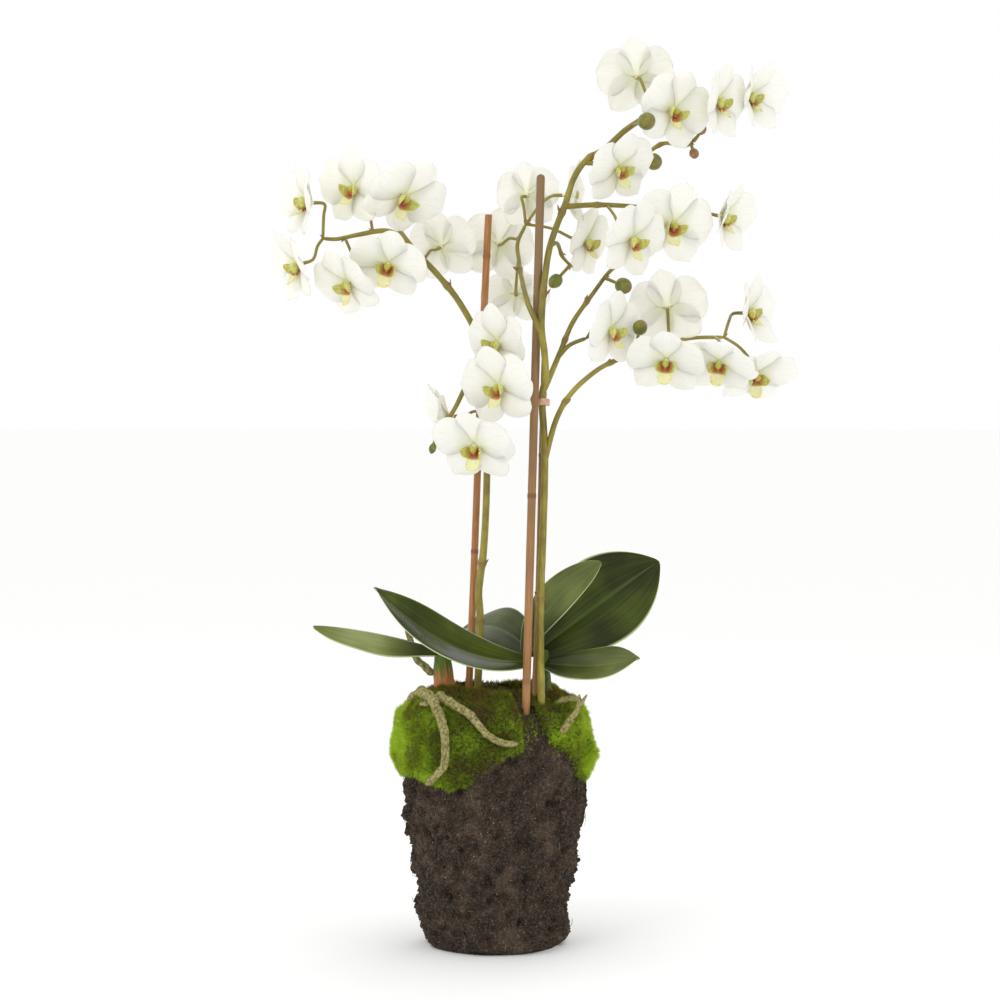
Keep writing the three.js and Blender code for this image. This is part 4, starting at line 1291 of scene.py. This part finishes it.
def tepal_part(direction, is_petal, cup, draw):
    """One sepal or petal in the flower's own frame: Z is forward and Y is up."""
    turned = math.radians(direction + draw.uniform(-4, 4))
    outward = Vector((math.sin(turned), math.cos(turned), 0))
    forward = Vector((0, 0, 1))
    length = (PETAL_LENGTH if is_petal else SEPAL_LENGTH) * draw.uniform(0.96, 1.03)
    half = PETAL_HALF_WIDTH if is_petal else SEPAL_HALF_WIDTH
    lean = math.tan(math.radians(cup + draw.uniform(-5, 5)))
    step = 0.6 if is_petal else -0.5
    arch = draw.uniform(0.04, 0.13) * length
    spine = bent_spine(
        outward * 1.2 + forward * step,
        outward * length * 0.5 + forward * (step + length * 0.5 * lean + arch),
        outward * length + forward * (step + length * lean - arch * 0.7),
        above=forward,
    )
    phase = draw.uniform(0, 6.3)
    waves = draw.uniform(0.4, 1.0)

    def width(u, v):
        if is_petal:
            grow = 0.1 + 0.9 * math.sin(math.pi / 2 * min(1, u / 0.5)) ** 1.1
            close = math.sqrt(max(0, 1 - max(0, (u - 0.5) / 0.5) ** 2.6))
            lopsided = 1 + 0.07 * v * math.copysign(1, direction)
            return half * grow * close * lopsided
        return half * max(0, math.sin(math.pi * min(1, 0.06 + 0.94 * u))) ** 0.6

    def lift(u, v):
        camber = (-0.16 if is_petal else -0.1) * half * v * v * min(1, u * 2)
        wave = waves * abs(v) ** 2.5 * math.sin(7 * u + 2.2 * v + phase) * blend_between(0.1, 0.6, u)
        furrow = -0.3 * math.exp(-(v / 0.1) ** 2) * (1 - u)
        return camber + wave + furrow

    return blade(
        spine, 30, 32, width, lift, lambda u, v: (0.36 - 0.2 * u) * (1 - 0.6 * v * v),
    )


def lip_parts(draw):
    """The column, the two ears and the boat-shaped tongue of the lip."""
    column = tube(
        spaced_route([(0, 0, -3), (0, 0.4, 2.5), (0, -0.8, 6.6)], 0.5),
        lambda along, angle: (1.6 + 0.9 * blend_between(0.3, 0.8, along)) * math.sqrt(
            min(1, (1 - along) * 5 + 0.04)),
        columns=16, mark=lambda along: 0.1 + 0.5 * blend_between(0.3, 0.8, along),
    )
    parts = [column]
    for hand in (-1, 1):
        spine = bent_spine(
            (hand * 1.2, -2.8, 1.8), (hand * 7.2, -4.2, 5.4), (hand * 7.4, 3.6, 9.4),
            above=(-hand, 0.6, 0.6),
        )
        parts.append(blade(
            spine, 16, 20,
            lambda u, v: 3.9 * math.sin(math.pi * (0.12 + 0.86 * u)) ** 0.7,
            lambda u, v: 1.1 * v * v, lambda u, v: 0.32,
            mark=lambda u, v, front: 0.95 - 0.5 * blend_between(0.1, 0.55, u),
        ))
    callus = tube(
        spaced_route([(0, -3.6, 2), (0, -2.9, 4), (0, -3.1, 6)], 0.5),
        lambda along, angle: 1.5 * math.sqrt(max(0.02, 1 - (2 * along - 1) ** 2)),
        columns=12, mark=lambda along: 0.9,
    )
    parts.append(callus)
    tongue = bent_spine((0, -2.6, 1.5), (0, -10.4, 5), (0, -11, 15), above=(0, 1, 0))

    def tongue_width(u, v):
        lobe = max(0, 1 - ((u - 0.64) / 0.36) ** 2) ** 0.6
        return 2.1 * (1 - u ** 10) + 3.1 * lobe

    parts.append(blade(
        tongue, 26, 26, tongue_width, lambda u, v: 3.0 * v * v * math.sin(math.pi * min(1, 0.15 + u)),
        lambda u, v: 0.45 * (1 - 0.6 * u),
        mark=lambda u, v, front: max(0.95 * blend_between(0.5, 0.3, u), 0.2 * v * v + 0.26 * u),
    ))
    return parts


every_flower = [flower for bunch in FLOWERS.values() for flower in bunch.items()]
for seed, (key, (at, facing, roll, size, cup)) in enumerate(every_flower):
    name = "flower_" + key
    draw = random.Random(100 + seed)
    forward = facing_vector(*facing)
    side = Vector((0, 0, 1)).cross(forward).normalized()
    top = forward.cross(side)
    turn = Matrix((side, top, forward)).transposed().to_4x4()
    place = Matrix.Translation(at) @ turn @ Matrix.Rotation(math.radians(-roll), 4, "Z")
    place = place @ Matrix.Scale(size, 4)
    whorl = [tepal_part(direction, is_petal, cup, draw) for direction, is_petal in TEPALS]
    lip = lip_parts(draw)
    for kind, parts, skin in (("tepals", whorl, petal_skin), ("lip", lip, lip_skin)):
        placed = [([place @ Vector(v) for v in verts], faces, spots) for verts, faces, spots in parts]
        settle(make_piece(name + "_" + kind, placed, skin), "petal", name)


# ---- camera, floor and light ----------------------------------------------------
# A plain pale studio floor that isn't part of the plant, three soft lamps and
# a white sky.

floor_mesh = bpy.data.meshes.new("floor")
floor_mesh.from_pydata([(-40, -40, 0), (40, -40, 0), (40, 40, 0), (-40, 40, 0)], [], [(0, 1, 2, 3)])
floor = into_scene("floor", floor_mesh)
paper, tree, shader = new_material("studio paper", {
    "Base Color": linear("#fdfdfc"), "Roughness": 0.9, "Specular IOR Level": 0.1,
})
floor_mesh.materials.append(paper)

world = bpy.data.worlds.new("studio")
bpy.context.scene.world = world
world.use_nodes = True
world.node_tree.nodes["Background"].inputs[0].default_value = linear("#ffffff")
world.node_tree.nodes["Background"].inputs[1].default_value = 1.0


def aim(thing, place, target):
    """Stands a lamp or the camera at place and turns it towards target, in metres."""
    thing.location = place
    thing.rotation_euler = (Vector(target) - Vector(place)).to_track_quat("-Z", "Y").to_euler()


for name, place, size, power in (
    ("key light", (-1.1, -1.5, 1.7), 1.1, 8), ("fill light", (1.6, -1.2, 0.9), 1.4, 1.5),
    ("back light", (0.5, 1.4, 1.5), 1.0, 4),
):
    lamp = bpy.data.lights.new(name, "AREA")
    lamp.energy = power
    lamp.size = size
    aim(into_scene(name, lamp), place, (0, 0, 0.32))

camera_data = bpy.data.cameras.new("camera")
camera_data.lens = 100
camera_data.sensor_width = 36
camera = into_scene("camera", camera_data)
aim(camera, (0.0043, -2.0, 0.390), (0.0043, 0, 0.321))
bpy.context.scene.camera = camera
bpy.context.scene.view_settings.view_transform = "Standard"
